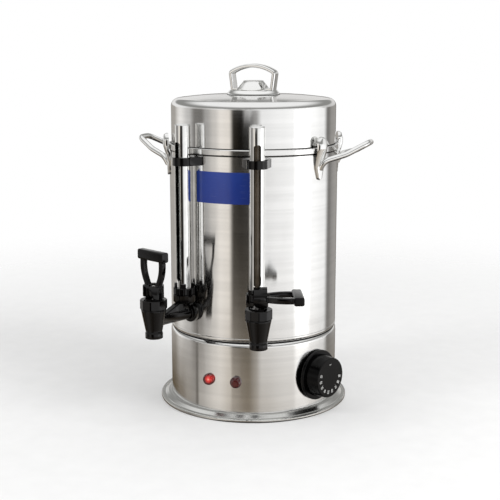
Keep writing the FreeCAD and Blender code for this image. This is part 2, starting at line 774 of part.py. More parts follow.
def makeTankRim():
    body = newBody("tank_rim")
    edge = urn.rimRadius - urn.tankRadius
    revolve(body, "rim_section", [
        (urn.ledgeRadius, ledgeHeight),
        (innerTank - urn.wall, ledgeHeight),
        (innerTank - urn.wall, urn.rimBottom - urn.wall * 2),
        (innerTank, urn.rimBottom - urn.wall * 2),
        (innerTank, urn.rimBottom),
        (urn.rimRadius - edge * 0.6, urn.rimBottom),
        (urn.rimRadius, urn.rimBottom + edge * 0.6, edge * 0.6, 1),
        (urn.rimRadius, lidSeat - edge),
        (urn.rimRadius - edge, lidSeat, edge, 1),
        (innerTank, lidSeat),
        (innerTank, ledgeHeight + urn.wall),
        (urn.ledgeRadius, ledgeHeight + urn.wall),
    ])
    finish("tank_rim", body)


def makeTankFloor():
    body = newBody("tank_floor")
    revolve(body, "floor_disc", [
        (0, urn.floorHeight - urn.floorWall),
        (innerTank - urn.floorWall, urn.floorHeight - urn.floorWall),
        (innerTank - urn.floorWall, urn.floorHeight - urn.floorWall * 2),
        (innerTank, urn.floorHeight - urn.floorWall * 2),
        (innerTank, urn.floorHeight),
        (0, urn.floorHeight),
    ])
    holes = newSketch(body, "leg_hole_sketch", "XY_Plane", offset=urn.floorHeight + urn.wall)
    for side in (-1, 1):
        spot = heaterLegSpot(side)
        drawCircle(holes, spot[0], spot[1], urn.heaterTube + urn.seatGap)
    pad(body, "leg_holes", holes, urn.floorWall * 3, cut=True)
    finish("tank_floor", body)


def heaterLegSpot(side):
    # the loop opens to the rear; past its end the tube bends down along the tangent
    across = sine(urn.heaterGapAngle) * urn.heaterLoop - cosine(urn.heaterGapAngle) * urn.heaterBend
    back = cosine(urn.heaterGapAngle) * urn.heaterLoop + sine(urn.heaterGapAngle) * urn.heaterBend
    return across * side, back


def makeHeater():
    loop = urn.heaterLoop.value
    gap = math.radians(urn.heaterGapAngle.value)
    height = urn.heaterHeight.value
    bend = urn.heaterBend.value
    ends = []
    for side in (1, -1):
        start = Vector(loop * math.sin(gap) * side, loop * math.cos(gap), height)
        onward = Vector(-math.cos(gap) * side, math.sin(gap), 0)
        down = start + onward * bend + Vector(0, 0, -bend)
        middle = start + Vector(0, 0, -bend) + (onward + Vector(0, 0, 1)) * (bend / math.sqrt(2))
        foot = Vector(down.x, down.y, urn.heaterLeg.value)
        ends.append((start, middle, down, foot))
    first, second = ends
    left = Vector(loop, 0, height)
    front = Vector(0, -loop, height)
    right = Vector(-loop, 0, height)
    path = Part.Wire([
        Part.LineSegment(first[3], first[2]).toShape(),
        Part.Arc(first[2], first[1], first[0]).toShape(),
        Part.Arc(first[0], left, front).toShape(),
        Part.Arc(front, right, second[0]).toShape(),
        Part.Arc(second[0], second[1], second[2]).toShape(),
        Part.LineSegment(second[2], second[3]).toShape(),
    ])
    tube = sweepCircle(path, urn.heaterTube.value)
    studs = []
    for end in ends:
        base = end[3] - Vector(0, 0, urn.terminalLength.value)
        studs.append(Part.makeCylinder(urn.terminalRadius.value, urn.terminalLength.value + 1, base))
    shape = tube.fuse(studs)
    finish("heating_element", solidFeature("heating_element_solid", shape))


def makeHeaterFixings():
    seals = newBody("heater_seals")
    sealSketch = newSketch(seals, "seal_sketch", "XY_Plane", offset=urn.floorHeight)
    nuts = newBody("heater_nuts")
    nutFoot = urn.floorHeight - urn.floorWall - urn.heaterNutHeight
    nutSketch = newSketch(nuts, "nut_sketch", "XY_Plane", offset=nutFoot)
    for side in (-1, 1):
        spot = heaterLegSpot(side)
        drawCircle(sealSketch, spot[0], spot[1], urn.heaterNut)
        drawCircle(sealSketch, spot[0], spot[1], urn.heaterTube)
        drawPolygon(nutSketch, spot[0], spot[1], urn.heaterNut, 6)
        drawCircle(nutSketch, spot[0], spot[1], urn.heaterTube)
    pad(seals, "seal_rings", sealSketch, urn.sealWall)
    pad(nuts, "hex_nuts", nutSketch, urn.heaterNutHeight)
    finish("heater_seals", seals)
    finish("heater_nuts", nuts)


def makeThermostat():
    # in its own frame the shaft points along -Y, as at azimuth 0
    half = urn.statWidth / 2
    outwards = (0, -1, 0)
    case = box("stat_case", urn.statWidth, urn.statDepth, urn.statWidth, (-half, -statFront, -half))
    bushStart = statFront - urn.wall
    bushReach = innerBase - urn.seatGap - bushStart
    bush = cylinder("stat_bush", urn.statBush, bushReach, (0, -bushStart, 0), outwards)
    bore = cylinder("stat_bore", urn.shaftRadius + urn.pinGap, urn.statDepth, (0, -statMiddle, 0), outwards)
    blades = []
    for number in (-1, 1):
        blades.append(box("stat_blade_%d" % (number + 1), urn.wall, urn.wall * 8, urn.wall * 6,
                          (half * number * 0.5, -(statFront - urn.statDepth), -(urn.wall * 3))))
    body = cut("stat_body", fuse("stat_solid", [case, bush] + blades), bore)
    finish("thermostat_body", body, azimuth=urn.knobAzimuth, height=urn.controlHeight)


def makeBulb():
    # the bulb lies along the underside of the tank floor; the capillary drops to the thermostat
    under = urn.floorHeight.value - urn.floorWall.value - urn.bulbRadius.value - urn.seatGap.value
    angle = math.radians(urn.knobAzimuth.value)
    outward = Vector(math.sin(angle), -math.cos(angle), 0)
    bulbStart = Vector(0, -urn.bulbLength.value / 2, under)
    bulb = Part.makeCylinder(urn.bulbRadius.value, urn.bulbLength.value, bulbStart, Vector(0, 1, 0))
    top = urn.controlHeight.value + urn.statWidth.value / 2
    drop = outward * statMiddle.value
    end = urn.bulbLength.value / 2
    lead = urn.capLead.value
    dip = urn.capDip.value
    bend = urn.capBend.value
    points = [
        Vector(0, end - urn.wall.value, under),
        Vector(0, end + lead, under),
        Vector(drop.x * 0.5, end + bend, under - dip),
        Vector(drop.x, drop.y, under - dip * 0.6),
        Vector(drop.x, drop.y, top),
    ]
    tube = sweepCircle(bentPath(points, [dip, lead * 9 / 14, bend]), urn.capillary.value)
    finish("thermostat_bulb", solidFeature("thermostat_bulb_solid", bulb.fuse(tube)))


def makeLamps():
    for side, azimuth in (("red", -urn.lampAzimuth), ("dark", urn.lampAzimuth)):
        body = newBody("lamp_lens_" + side)
        edge = urn.lensReach * 0.3
        revolve(body, "lens_form_" + side, [
            (0, 0),
            (urn.lensRadius, 0),
            (urn.lensRadius, edge),
            (urn.lensRadius * 0.75, urn.lensReach - urn.wall / 2, urn.lensRadius, 1),
            (urn.lensRadius * 0.35, urn.lensReach, urn.lensRadius, 1),
            (0, urn.lensReach),
        ])
        lens = tipOutwards("lens_" + side, body, azimuth, urn.controlHeight, urn.baseRadius + urn.seatGap)
        finish("lamp_lens_" + side, lens)
    holders = []
    for side, azimuth in (("left", -urn.lampAzimuth), ("right", urn.lampAzimuth)):
        body = newBody("lamp_holder_" + side)
        barrel = urn.lampBarrel
        revolve(body, "holder_form_" + side, [
            (0, -(urn.lampDepth)),
            (barrel * 0.8, -(urn.lampDepth)),
            (barrel * 0.8, -(urn.wall * 5)),
            (barrel * 1.6, -(urn.wall * 5)),
            (barrel * 1.6, -(urn.wall + urn.seatGap * 2)),
            (barrel, -(urn.wall + urn.seatGap * 2)),
            (barrel, urn.seatGap),
            (0, urn.seatGap),
        ])
        holders.append(tipOutwards("holder_" + side, body, azimuth, urn.controlHeight, urn.baseRadius))
    finish("lamp_holders", group("lamp_holder_group", holders))


def tipOutwards(name, body, azimuth, height, reach):
    # a piece turned about its own Z is laid down to point outwards at an azimuth
    item = doc.addObject("Part::Compound", name)
    item.Links = [body]
    spin = Rotation(Vector(0, 0, 1), azimuth.value)
    tip = Rotation(Vector(1, 0, 0), 90)
    item.Placement = Placement(Vector(), spin.multiply(tip))
    bind(item, "Placement.Base.x", sine(azimuth) * reach)
    bind(item, "Placement.Base.y", -(cosine(azimuth) * reach))
    bind(item, "Placement.Base.z", height)
    return item


def makeTerminalBlock():
    # a porcelain block on the bottom cover, near the cable gland
    length = urn.caseLength
    floor = urn.coverHeight + urn.wall
    back = innerBase - urn.caseBack
    block = box("terminal_case", length, urn.caseWidth, urn.caseHeight, (-length / 2, back, floor))
    middle = back + urn.caseWidth / 2
    bores = []
    for number in range(3):
        spot = (length / 3) * (number - 1)
        foot = (spot, middle, floor + urn.caseHeight / 2)
        bores.append(cylinder("terminal_bore_%d" % number, urn.caseBore, urn.caseHeight, foot))
    finish("terminal_block", cut("terminal_block_cut", block, fuse("terminal_bores", bores)))


def makeCableGland():
    body = newBody("cable_gland")
    outer = urn.glandBore + urn.wall * 3
    inside = -urn.glandReach
    revolve(body, "gland_form", [
        (urn.glandBore, inside),
        (urn.glandNeck, inside),
        (urn.glandNeck, 0),
        (outer + urn.wall * 2.5, 0),
        (outer + urn.wall * 2.5, urn.wall * 2.5),
        (outer, urn.glandReach),
        (urn.glandBore, urn.glandReach),
    ])
    # the neck is square where it passes the wall, so that the gland can't turn
    neck = newSketch(body, "gland_neck_sketch", "XY_Plane", offset=inside)
    drawRectangle(neck, urn.glandNeck, urn.glandNeck)
    drawCircle(neck, 0, 0, urn.glandBore)
    pad(body, "gland_neck", neck, urn.glandReach + urn.wall)
    gland = tipOutwards("gland", body, asSize(180), urn.glandHeight, urn.baseRadius + urn.seatGap)
    finish("cable_gland", gland)


def makeLabel():
    body = newBody("label_plate")
    labelTop = urn.labelBottom + urn.labelHeight
    revolve(body, "label_band", [
        (urn.tankRadius, urn.labelBottom),
        (urn.tankRadius + urn.labelWall, urn.labelBottom),
        (urn.tankRadius + urn.labelWall, labelTop),
        (urn.tankRadius, labelTop),
    ], angle=urn.labelHalf * 2)
    finish("label_plate", body, azimuth=asSize(-90))


def makeKnob():
    body = newBody("thermostat_knob")
    back = urn.seatGap * 2
    revolve(body, "knob_form", [
        (urn.shaftRadius, back),
        (urn.skirtRadius - urn.wall, back),
        (urn.skirtRadius, back + urn.wall, urn.wall, 1),
        (urn.skirtRadius, back + urn.skirtHeight - urn.wall),
        (urn.skirtRadius - urn.wall, back + urn.skirtHeight, urn.wall, 1),
        (urn.dialRadius + urn.dialDraft, back + urn.skirtHeight),
        (urn.dialRadius, urn.knobReach - urn.wall),
        (urn.dialRadius - urn.wall, urn.knobReach, urn.wall, 1),
        (0, urn.knobReach),
        (0, urn.knobReach - urn.wall * 4),
        (urn.shaftRadius, urn.knobReach - urn.wall * 4),
    ])
    finish("thermostat_knob", tipOutwards("knob", body, urn.knobAzimuth, urn.controlHeight, urn.baseRadius))
    shaft = newBody("thermostat_shaft")
    revolve(shaft, "shaft_form", [
        (0, statMiddle + urn.seatGap - urn.baseRadius),
        (urn.shaftRadius, statMiddle + urn.seatGap - urn.baseRadius),
        (urn.shaftRadius, urn.knobReach - urn.wall * 4),
        (0, urn.knobReach - urn.wall * 4),
    ])
    turned = tipOutwards("shaft", shaft, urn.knobAzimuth, urn.controlHeight, urn.baseRadius)
    finish("thermostat_shaft", turned)


# Taps, each built as if it stood at the front, and turned to its azimuth when finished
def spun(name, item, axis, angle):
    holder = doc.addObject("Part::Compound", name)
    holder.Links = [item]
    holder.Placement = Placement(Vector(), Rotation(axis, angle))
    return holder


def lying(name, item, height):
    # an outline turned about Z becomes one along -Y, so its heights become distances from the axis
    holder = spun(name, item, Vector(1, 0, 0), 90)
    bind(holder, "Placement.Base.z", height)
    return holder


def makeTapBody(side, azimuth):
    cup = newBody(side + "_cup")
    revolve(cup, side + "_cup_form", [
        (0, urn.cupBottom),
        (urn.lipRadius - urn.wall / 2, urn.cupBottom),
        (urn.lipRadius, urn.cupBottom + urn.wall / 2, urn.wall / 2, 1),
        (urn.lipRadius, urn.cupBottom + urn.lipHeight - urn.wall / 2),
        (urn.lipRadius - urn.wall / 2, urn.cupBottom + urn.lipHeight, urn.wall / 2, 1),
        (urn.coneBottom, urn.cupBottom + urn.lipHeight),
        (urn.coneTop, urn.bonnetBottom),
        (cupRim, urn.bonnetBottom),
        (cupRim, bonnetCeiling),
        (0, bonnetCeiling),
    ])
    bind(cup, "Placement.Base.y", -urn.cupAxis)
    arm = newBody(side + "_arm")
    revolve(arm, side + "_arm_form", [
        (0, shankEnd),
        (urn.shankRadius - urn.wall, shankEnd),
        (urn.shankRadius, shankEnd + urn.wall),
        (urn.shankRadius, sealPlane),
        (urn.flangeRadius, sealPlane),
        (urn.flangeRadius, sealPlane + urn.flangeWall - urn.wall),
        (urn.flangeRadius - urn.wall, sealPlane + urn.flangeWall, urn.wall, 1),
        (urn.armRadius + urn.wall, sealPlane + urn.flangeWall),
        (urn.armRadius, sealPlane + urn.flangeWall + urn.wall, urn.wall, -1),
        (urn.armRadius, urn.cupAxis - urn.chamberRadius / 2),
        (0, urn.cupAxis - urn.chamberRadius / 2),
    ])
    neck = newBody(side + "_neck")
    revolve(neck, side + "_neck_form", [
        (0, urn.tapHeight),
        (urn.neckRadius, urn.tapHeight),
        (urn.neckRadius, urn.blockBottom),
        (urn.blockRadius - urn.wall * 2, urn.blockBottom),
        (urn.blockRadius, urn.blockBottom + urn.wall * 2),
        (urn.blockRadius, nutBottom),
        (0, nutBottom),
    ])
    flats = newBody(side + "_flats")
    flatSketch = newSketch(flats, side + "_flat_sketch", "XY_Plane", offset=urn.tapHeight)
    drawPolygon(flatSketch, 0, 0, urn.blockRadius * 0.94, 8)
    pad(flats, side + "_flat_prism", flatSketch, nutBottom - urn.tapHeight)
    block = common(side + "_block", [neck, flats])
    bind(block, "Placement.Base.y", -urn.gaugeAxis)
    chamber = newBody(side + "_chamber")
    revolve(chamber, side + "_chamber_form", [
        (0, urn.cupBottom - urn.wall),
        (urn.outletRadius, urn.cupBottom - urn.wall),
        (urn.outletRadius, urn.seatHeight),
        (urn.chamberRadius, urn.seatHeight + urn.chamberRadius - urn.outletRadius),
        (urn.chamberRadius, urn.tapHeight + urn.armRadius),
        (cupRim - urn.wall * 2.4, urn.tapHeight + urn.armRadius * 1.4),
        (cupRim - urn.wall * 2.4, bonnetTop),
        (0, bonnetTop),
    ])
    bind(chamber, "Placement.Base.y", -urn.cupAxis)
    boreReach = urn.cupAxis - shankEnd + urn.wall
    boreFoot = (0, urn.wall - shankEnd, urn.tapHeight)
    bore = cylinder(side + "_bore", urn.armBore, boreReach, boreFoot, (0, -1, 0))
    rise = nutBottom - urn.tapHeight + urn.wall
    channel = cylinder(side + "_channel", urn.armBore * 0.8, rise, (0, -urn.gaugeAxis, urn.tapHeight))
    solid = fuse(side + "_tap_solid", [cup, lying(side + "_arm_laid", arm, urn.tapHeight), block])
    hollow = fuse(side + "_tap_hollow", [chamber, bore, channel])
    finish(side + "_tap_body", cut(side + "_tap_cut", solid, hollow), azimuth)


def makeTapSeals(side, azimuth):
    outwards = (0, -1, 0)
    reach = urn.sealWall * 2
    discFoot = (0, reach - sealPlane, urn.tapHeight)
    outer = cylinder(side + "_outer_disc", urn.flangeRadius, reach, discFoot, outwards)
    inner = cylinder(side + "_inner_disc", urn.lockNut, reach, (0, -nutFace, urn.tapHeight), outwards)
    shankFoot = (0, -shankEnd, urn.tapHeight)
    shankTool = cylinder(side + "_shank_tool", urn.shankRadius, urn.shankReach * 2, shankFoot, outwards)
    wallTool = cylinder(side + "_wall_tool", urn.tankRadius, urn.tapHeight * 2)
    spaceTool = cylinder(side + "_space_tool", innerTank, urn.tapHeight * 2)
    outerSeal = cut(side + "_outer_seal", outer, fuse(side + "_outer_tools", [shankTool, wallTool]))
    innerSeal = cut(side + "_inner_seal", common(side + "_inner_form", [inner, spaceTool]), shankTool)
    finish(side + "_tap_seals", group(side + "_seal_pair", [outerSeal, innerSeal]), azimuth)


def makeTapNut(side, azimuth):
    body = newBody(side + "_lock_nut")
    sketch = newSketch(body, side + "_lock_sketch", "XZ_Plane", offset=nutFace - urn.lockNutHeight)
    drawPolygon(sketch, 0, urn.tapHeight, urn.lockNut, 6)
    drawCircle(sketch, 0, urn.tapHeight, urn.shankRadius)
    pad(body, side + "_lock_hex", sketch, urn.lockNutHeight)
    finish(side + "_tap_nut", body, azimuth)


def makeBonnet(side, azimuth):
    ring = newBody(side + "_bonnet_ring")
    clear = urn.stemRadius + urn.seatGap
    revolve(ring, side + "_bonnet_form", [
        (cupRim + urn.seatGap, urn.bonnetBottom),
        (urn.bonnetRadius, urn.bonnetBottom),
        (urn.bonnetRadius, bonnetTop - urn.wall),
        (urn.bonnetRadius - urn.wall, bonnetTop, urn.wall, 1),
        (clear, bonnetTop),
        (clear, bonnetCeiling),
        (cupRim + urn.seatGap, bonnetCeiling),
    ])
    flats = newBody(side + "_bonnet_flats")
    sketch = newSketch(flats, side + "_bonnet_sketch", "XY_Plane", offset=urn.bonnetBottom)
    drawPolygon(sketch, 0, 0, urn.bonnetRadius - urn.wall / 2, 10)
    pad(flats, side + "_bonnet_prism", sketch, urn.bonnetHeight)
    finish(side + "_tap_bonnet", common(side + "_bonnet_cut", [ring, flats]), azimuth, urn.cupAxis)
    washer = newBody(side + "_washer")
    revolve(washer, side + "_washer_form", [
        (urn.stemRadius + urn.pinGap, washerTop - urn.washerWall),
        (urn.washerRadius, washerTop - urn.washerWall),
        (urn.washerRadius, washerTop),
        (urn.stemRadius + urn.pinGap, washerTop),
    ])
    finish(side + "_tap_washer", washer, azimuth, urn.cupAxis)


def makeStem(side, azimuth, spin, raised):
    stem = newBody(side + "_stem")
    tipHeight = plugBottom + urn.wall * 2.5
    domeStart = pinHeight + urn.headTop - urn.headHalf
    revolve(stem, side + "_stem_form", [
        (0, tipHeight),
        (urn.stemRadius, tipHeight),
        (urn.stemRadius, plugTop),
        (urn.springRadius + urn.wall, plugTop),
        (urn.springRadius + urn.wall, collarTop),
        (urn.stemRadius, collarTop),
        (urn.stemRadius, pinHeight - urn.headHalf),
        (urn.headHalf, pinHeight - urn.headHalf),
        (urn.headHalf, domeStart),
        (0, pinHeight + urn.headTop, urn.headHalf, 1),
    ])
    hole = newSketch(stem, side + "_pin_sketch", "YZ_Plane")
    drawCircle(hole, 0, pinHeight, urn.pinRadius)
    pad(stem, side + "_pin_hole", hole, urn.headHalf * 3, middle=True, cut=True)
    finish(side + "_tap_stem", stem, azimuth, urn.cupAxis, raised, spin)
    plug = newBody(side + "_plug")
    tip = urn.outletRadius - urn.seatGap / 2
    side45 = urn.chamberRadius - urn.seatGap * 2
    revolve(plug, side + "_plug_form", [
        (0, plugBottom),
        (tip, plugBottom),
        (side45, plugBottom + side45 - tip),
        (side45, plugTop),
        (urn.stemRadius, plugTop),
        (urn.stemRadius, tipHeight),
        (0, tipHeight),
    ])
    finish(side + "_tap_seat", plug, azimuth, urn.cupAxis, raised, spin)


def makeSpring(side, azimuth, raised):
    bottom = collarTop + raised + urn.seatGap
    bottom = bottom.value + urn.springWire.value
    height = bonnetCeiling.value - urn.seatGap.value - urn.springWire.value - bottom
    coil = sweepCircle(coilPath(urn.springRadius.value, height, springTurns), urn.springWire.value)
    coil.translate(Vector(0, 0, bottom))
    holder = group(side + "_spring_holder", [solidFeature(side + "_spring_coil", coil)])
    finish(side + "_tap_spring", holder, azimuth, urn.cupAxis)


def makeHandle(side, azimuth, spin, isOpen):
    # upright, with the origin on its pin
    heel = urn.camRadius - camOffset
    front = urn.camRadius + camOffset
    hubTop = urn.headTop + urn.wall / 2
    barFoot = urn.gripReach - urn.gripHeight
    barrel = cylinder(side + "_hub_round", urn.hubHalf, hubTop + heel, (0, 0, -heel))
    profile = newBody(side + "_hub_profile")
    sketch = newSketch(profile, side + "_cam_sketch", "YZ_Plane")
    drawOutline(sketch, [
        (urn.hubHalf + urn.wall, -heel),
        (urn.hubHalf + urn.wall, hubTop),
        (-front, hubTop),
        (-front, camOffset),
        (-camOffset, -heel, urn.camRadius, 1),
    ])
    pad(profile, side + "_cam", sketch, urn.hubHalf * 2 + urn.wall, middle=True)
    hub = common(side + "_hub", [barrel, profile])
    fork = newBody(side + "_fork")
    sketch = newSketch(fork, side + "_fork_sketch", "XZ_Plane")
    foot = urn.hubHalf - urn.wall / 2
    drawOutline(sketch, [
        (foot, hubTop / 3),
        (foot, hubTop),
        (urn.forkTop, barFoot, urn.forkBow, 1),
        (urn.forkTop, barFoot + urn.gripHeight / 2),
        (-urn.forkTop, barFoot + urn.gripHeight / 2),
        (-urn.forkTop, barFoot),
        (-foot, hubTop, urn.forkBow, 1),
        (-foot, hubTop / 3),
    ])
    drawOutline(sketch, [
        (foot - urn.tineWall, hubTop),
        (urn.forkTop - urn.tineWall, barFoot, urn.forkBow, 1),
        (urn.tineWall - urn.forkTop, barFoot),
        (urn.tineWall - foot, hubTop, urn.forkBow, 1),
    ])
    pad(fork, side + "_tines", sketch, urn.tineDepth, middle=True)
    roundEdges(fork, side + "_tine_edges", urn.wall, longTineEdge)
    bar = newBody(side + "_bar")
    sketch = newSketch(bar, side + "_bar_sketch", "YZ_Plane")
    half = urn.gripDepth / 2
    corner = urn.gripCorner
    drawOutline(sketch, [
        (half - corner, barFoot),
        (half, barFoot + corner, corner, 1),
        (half, urn.gripReach - corner),
        (half - corner, urn.gripReach, corner, 1),
        (corner - half, urn.gripReach),
        (-half, urn.gripReach - corner, corner, 1),
        (-half, barFoot + corner),
        (corner - half, barFoot, corner, 1),
    ])
    pad(bar, side + "_grip", sketch, urn.gripHalf * 2, middle=True)
    roundEdges(bar, side + "_grip_ends", urn.wall, barEndEdge)
    slotHalfWidth = urn.headHalf + urn.seatGap
    slotBack = urn.headTop + urn.seatGap * 4
    slotDepth = slotBack + urn.hubHalf + urn.wall
    slot = box(side + "_hub_slot", slotHalfWidth * 2, slotDepth, heel + hubTop + urn.wall,
               (-slotHalfWidth, -(urn.hubHalf + urn.wall), -(heel + urn.wall / 2)))
    toolFoot = (urn.hubHalf * -1.5, 0, 0)
    pinTool = cylinder(side + "_pin_tool", urn.pinRadius + urn.pinGap, urn.hubHalf * 3, toolFoot, (1, 0, 0))
    handle = cut(side + "_handle_cut", fuse(side + "_handle_solid", [hub, fork, bar]),
                 fuse(side + "_handle_tools", [slot, pinTool]))
    pinFoot = (urn.wall - urn.hubHalf, 0, 0)
    pin = cylinder(side + "_pin", urn.pinRadius, (urn.hubHalf - urn.wall) * 2, pinFoot, (1, 0, 0))
    raised = pinHeight
    if isOpen:
        handle = spun(side + "_handle_tilted", handle, Vector(1, 0, 0), 90)
        raised = pinHeight + urn.lift
    finish(side + "_tap_handle", group(side + "_handle_place", [handle]), azimuth, urn.cupAxis, raised, spin)
    finish(side + "_tap_pin", group(side + "_pin_place", [pin]), azimuth, urn.cupAxis, raised, spin)


def longTineEdge(edge):
    # the arcs that bound the fork's opening and its outer sides
    return hasattr(edge.Curve, "Radius") and abs(edge.Curve.Radius - urn.forkBow.value) < 0.01


def barEndEdge(edge):
    box = edge.BoundBox
    return box.XLength < 0.01 and abs(abs(box.XMax) - urn.gripHalf.value) < 0.01


# Gauges
def makeGauge(side, azimuth):
    socket = newBody(side + "_socket")
    bore = urn.shieldRadius + urn.pinGap
    seat = urn.glassRadius + urn.wall * 1.4
    drain = urn.armBore * 0.8
    revolve(socket, side + "_socket_form", [
        (drain, nutBottom),
        (urn.nutRadius - urn.wall, nutBottom),
        (urn.nutRadius, nutBottom + urn.wall),
        (urn.nutRadius, nutTop - urn.wall),
        (urn.nutRadius - urn.wall, nutTop, urn.wall, 1),
        (bore, nutTop),
        (bore, gaugeStep),
        (seat, gaugeStep),
        (seat, nutBottom + urn.wall),
        (drain, nutBottom + urn.wall),
    ])
    flute = newSketch(socket, side + "_flute_sketch", "XY_Plane", offset=nutTop + urn.wall)
    drawCircle(flute, 0, urn.nutRadius + urn.wall * 0.6, urn.wall * 1.3)
    cutter = pad(socket, side + "_flute", flute, urn.nutHeight + urn.wall * 2, cut=True)
    polarPattern(socket, side + "_flutes", [cutter], 16)
    finger = newSketch(socket, side + "_finger_sketch", "XY_Plane", offset=nutTop - urn.wall / 2)
    drawOutline(finger, [
        (urn.wall * 2.2, urn.shieldRadius + urn.seatGap),
        (urn.wall * 2.6, urn.nutRadius - urn.wall * 1.4),
        (-(urn.wall * 2.6), urn.nutRadius - urn.wall * 1.4),
        (-(urn.wall * 2.2), urn.shieldRadius + urn.seatGap),
    ])
    fingerPad = pad(socket, side + "_finger", finger, urn.fingerHeight + urn.wall / 2)
    polarPattern(socket, side + "_fingers", [fingerPad], 4)
    finish(side + "_gauge_socket", socket, azimuth, urn.gaugeAxis, spin=45)

    shield = newBody(side + "_shield")
    inner = urn.shieldRadius - urn.shieldWall
    cap = urn.wall * 1.5
    revolve(shield, side + "_shield_form", [
        (inner, gaugeStep),
        (urn.shieldRadius, gaugeStep),
        (urn.shieldRadius, urn.gaugeTop - cap),
        (urn.shieldRadius - cap, urn.gaugeTop, cap, 1),
        (0, urn.gaugeTop),
        (0, urn.gaugeTop - urn.shieldWall),
        (inner, urn.gaugeTop - urn.shieldWall),
    ])
    slot = newSketch(shield, side + "_slot_sketch", "XZ_Plane")
    drawOutline(slot, [
        (0, urn.slotBottom),
        (urn.slotHalf, urn.slotBottom + urn.slotHalf),
        (urn.slotHalf, urn.slotTop - urn.slotHalf / 2),
        (urn.slotHalf / 2, urn.slotTop),
        (-urn.slotHalf / 2, urn.slotTop),
        (-urn.slotHalf, urn.slotTop - urn.slotHalf / 2),
        (-urn.slotHalf, urn.slotBottom + urn.slotHalf),
    ])
    pad(shield, side + "_slot", slot, urn.shieldRadius + urn.wall, reverse=True, cut=True)
    finish(side + "_gauge_shield", shield, azimuth, urn.gaugeAxis)

    glass = newBody(side + "_glass")
    revolve(glass, side + "_glass_form", [
        (urn.glassRadius - urn.glassWall, glassBottom),
        (urn.glassRadius, glassBottom),
        (urn.glassRadius, urn.glassTop),
        (urn.glassRadius - urn.glassWall, urn.glassTop),
    ])
    finish(side + "_gauge_glass", glass, azimuth, urn.gaugeAxis)

    lower = newBody(side + "_lower_seal")
    revolve(lower, side + "_lower_seal_form", [
        (drain, nutBottom + urn.wall),
        (seat, nutBottom + urn.wall),
        (seat, gaugeStep),
        (urn.glassRadius, gaugeStep),
        (urn.glassRadius, glassBottom),
        (drain, glassBottom),
    ])
    upper = newBody(side + "_upper_seal")
    revolve(upper, side + "_upper_seal_form", [
        (urn.glassRadius, urn.glassTop - urn.wall * 5),
        (inner, urn.glassTop - urn.wall * 5),
        (inner, urn.glassTop + urn.sealWall),
        (urn.glassRadius / 2, urn.glassTop + urn.sealWall),
        (urn.glassRadius / 2, urn.glassTop),
        (urn.glassRadius, urn.glassTop),
    ])
    finish(side + "_gauge_seals", group(side + "_gauge_seal_pair", [lower, upper]), azimuth, urn.gaugeAxis)

    clip = newBody(side + "_clip")
    outline = newSketch(clip, side + "_clip_sketch", "XY_Plane", offset=urn.clipBottom)
    hold = urn.shieldRadius + urn.clipWall
    back = urn.tankRadius - urn.wall * 3
    drawOutline(outline, [
        (-urn.clipHalf, -back),
        (-urn.clipHalf, -(urn.tankRadius + urn.wall)),
        (-hold, -urn.gaugeAxis),
        (hold, -urn.gaugeAxis, hold, 1),
        (urn.clipHalf, -(urn.tankRadius + urn.wall)),
        (urn.clipHalf, -back),
    ])
    drawCircle(outline, 0, -urn.gaugeAxis, urn.shieldRadius + urn.pinGap)
    pad(clip, side + "_clip_block", outline, urn.clipHeight)
    clipTop = urn.clipBottom + urn.clipHeight
    hollow = newSketch(clip, side + "_clip_back_sketch", "XY_Plane", offset=clipTop + urn.wall)
    drawCircle(hollow, 0, 0, urn.tankRadius)
    pad(clip, side + "_clip_back", hollow, urn.clipHeight + urn.wall * 2, cut=True)
    finish(side + "_gauge_clip", clip, azimuth)


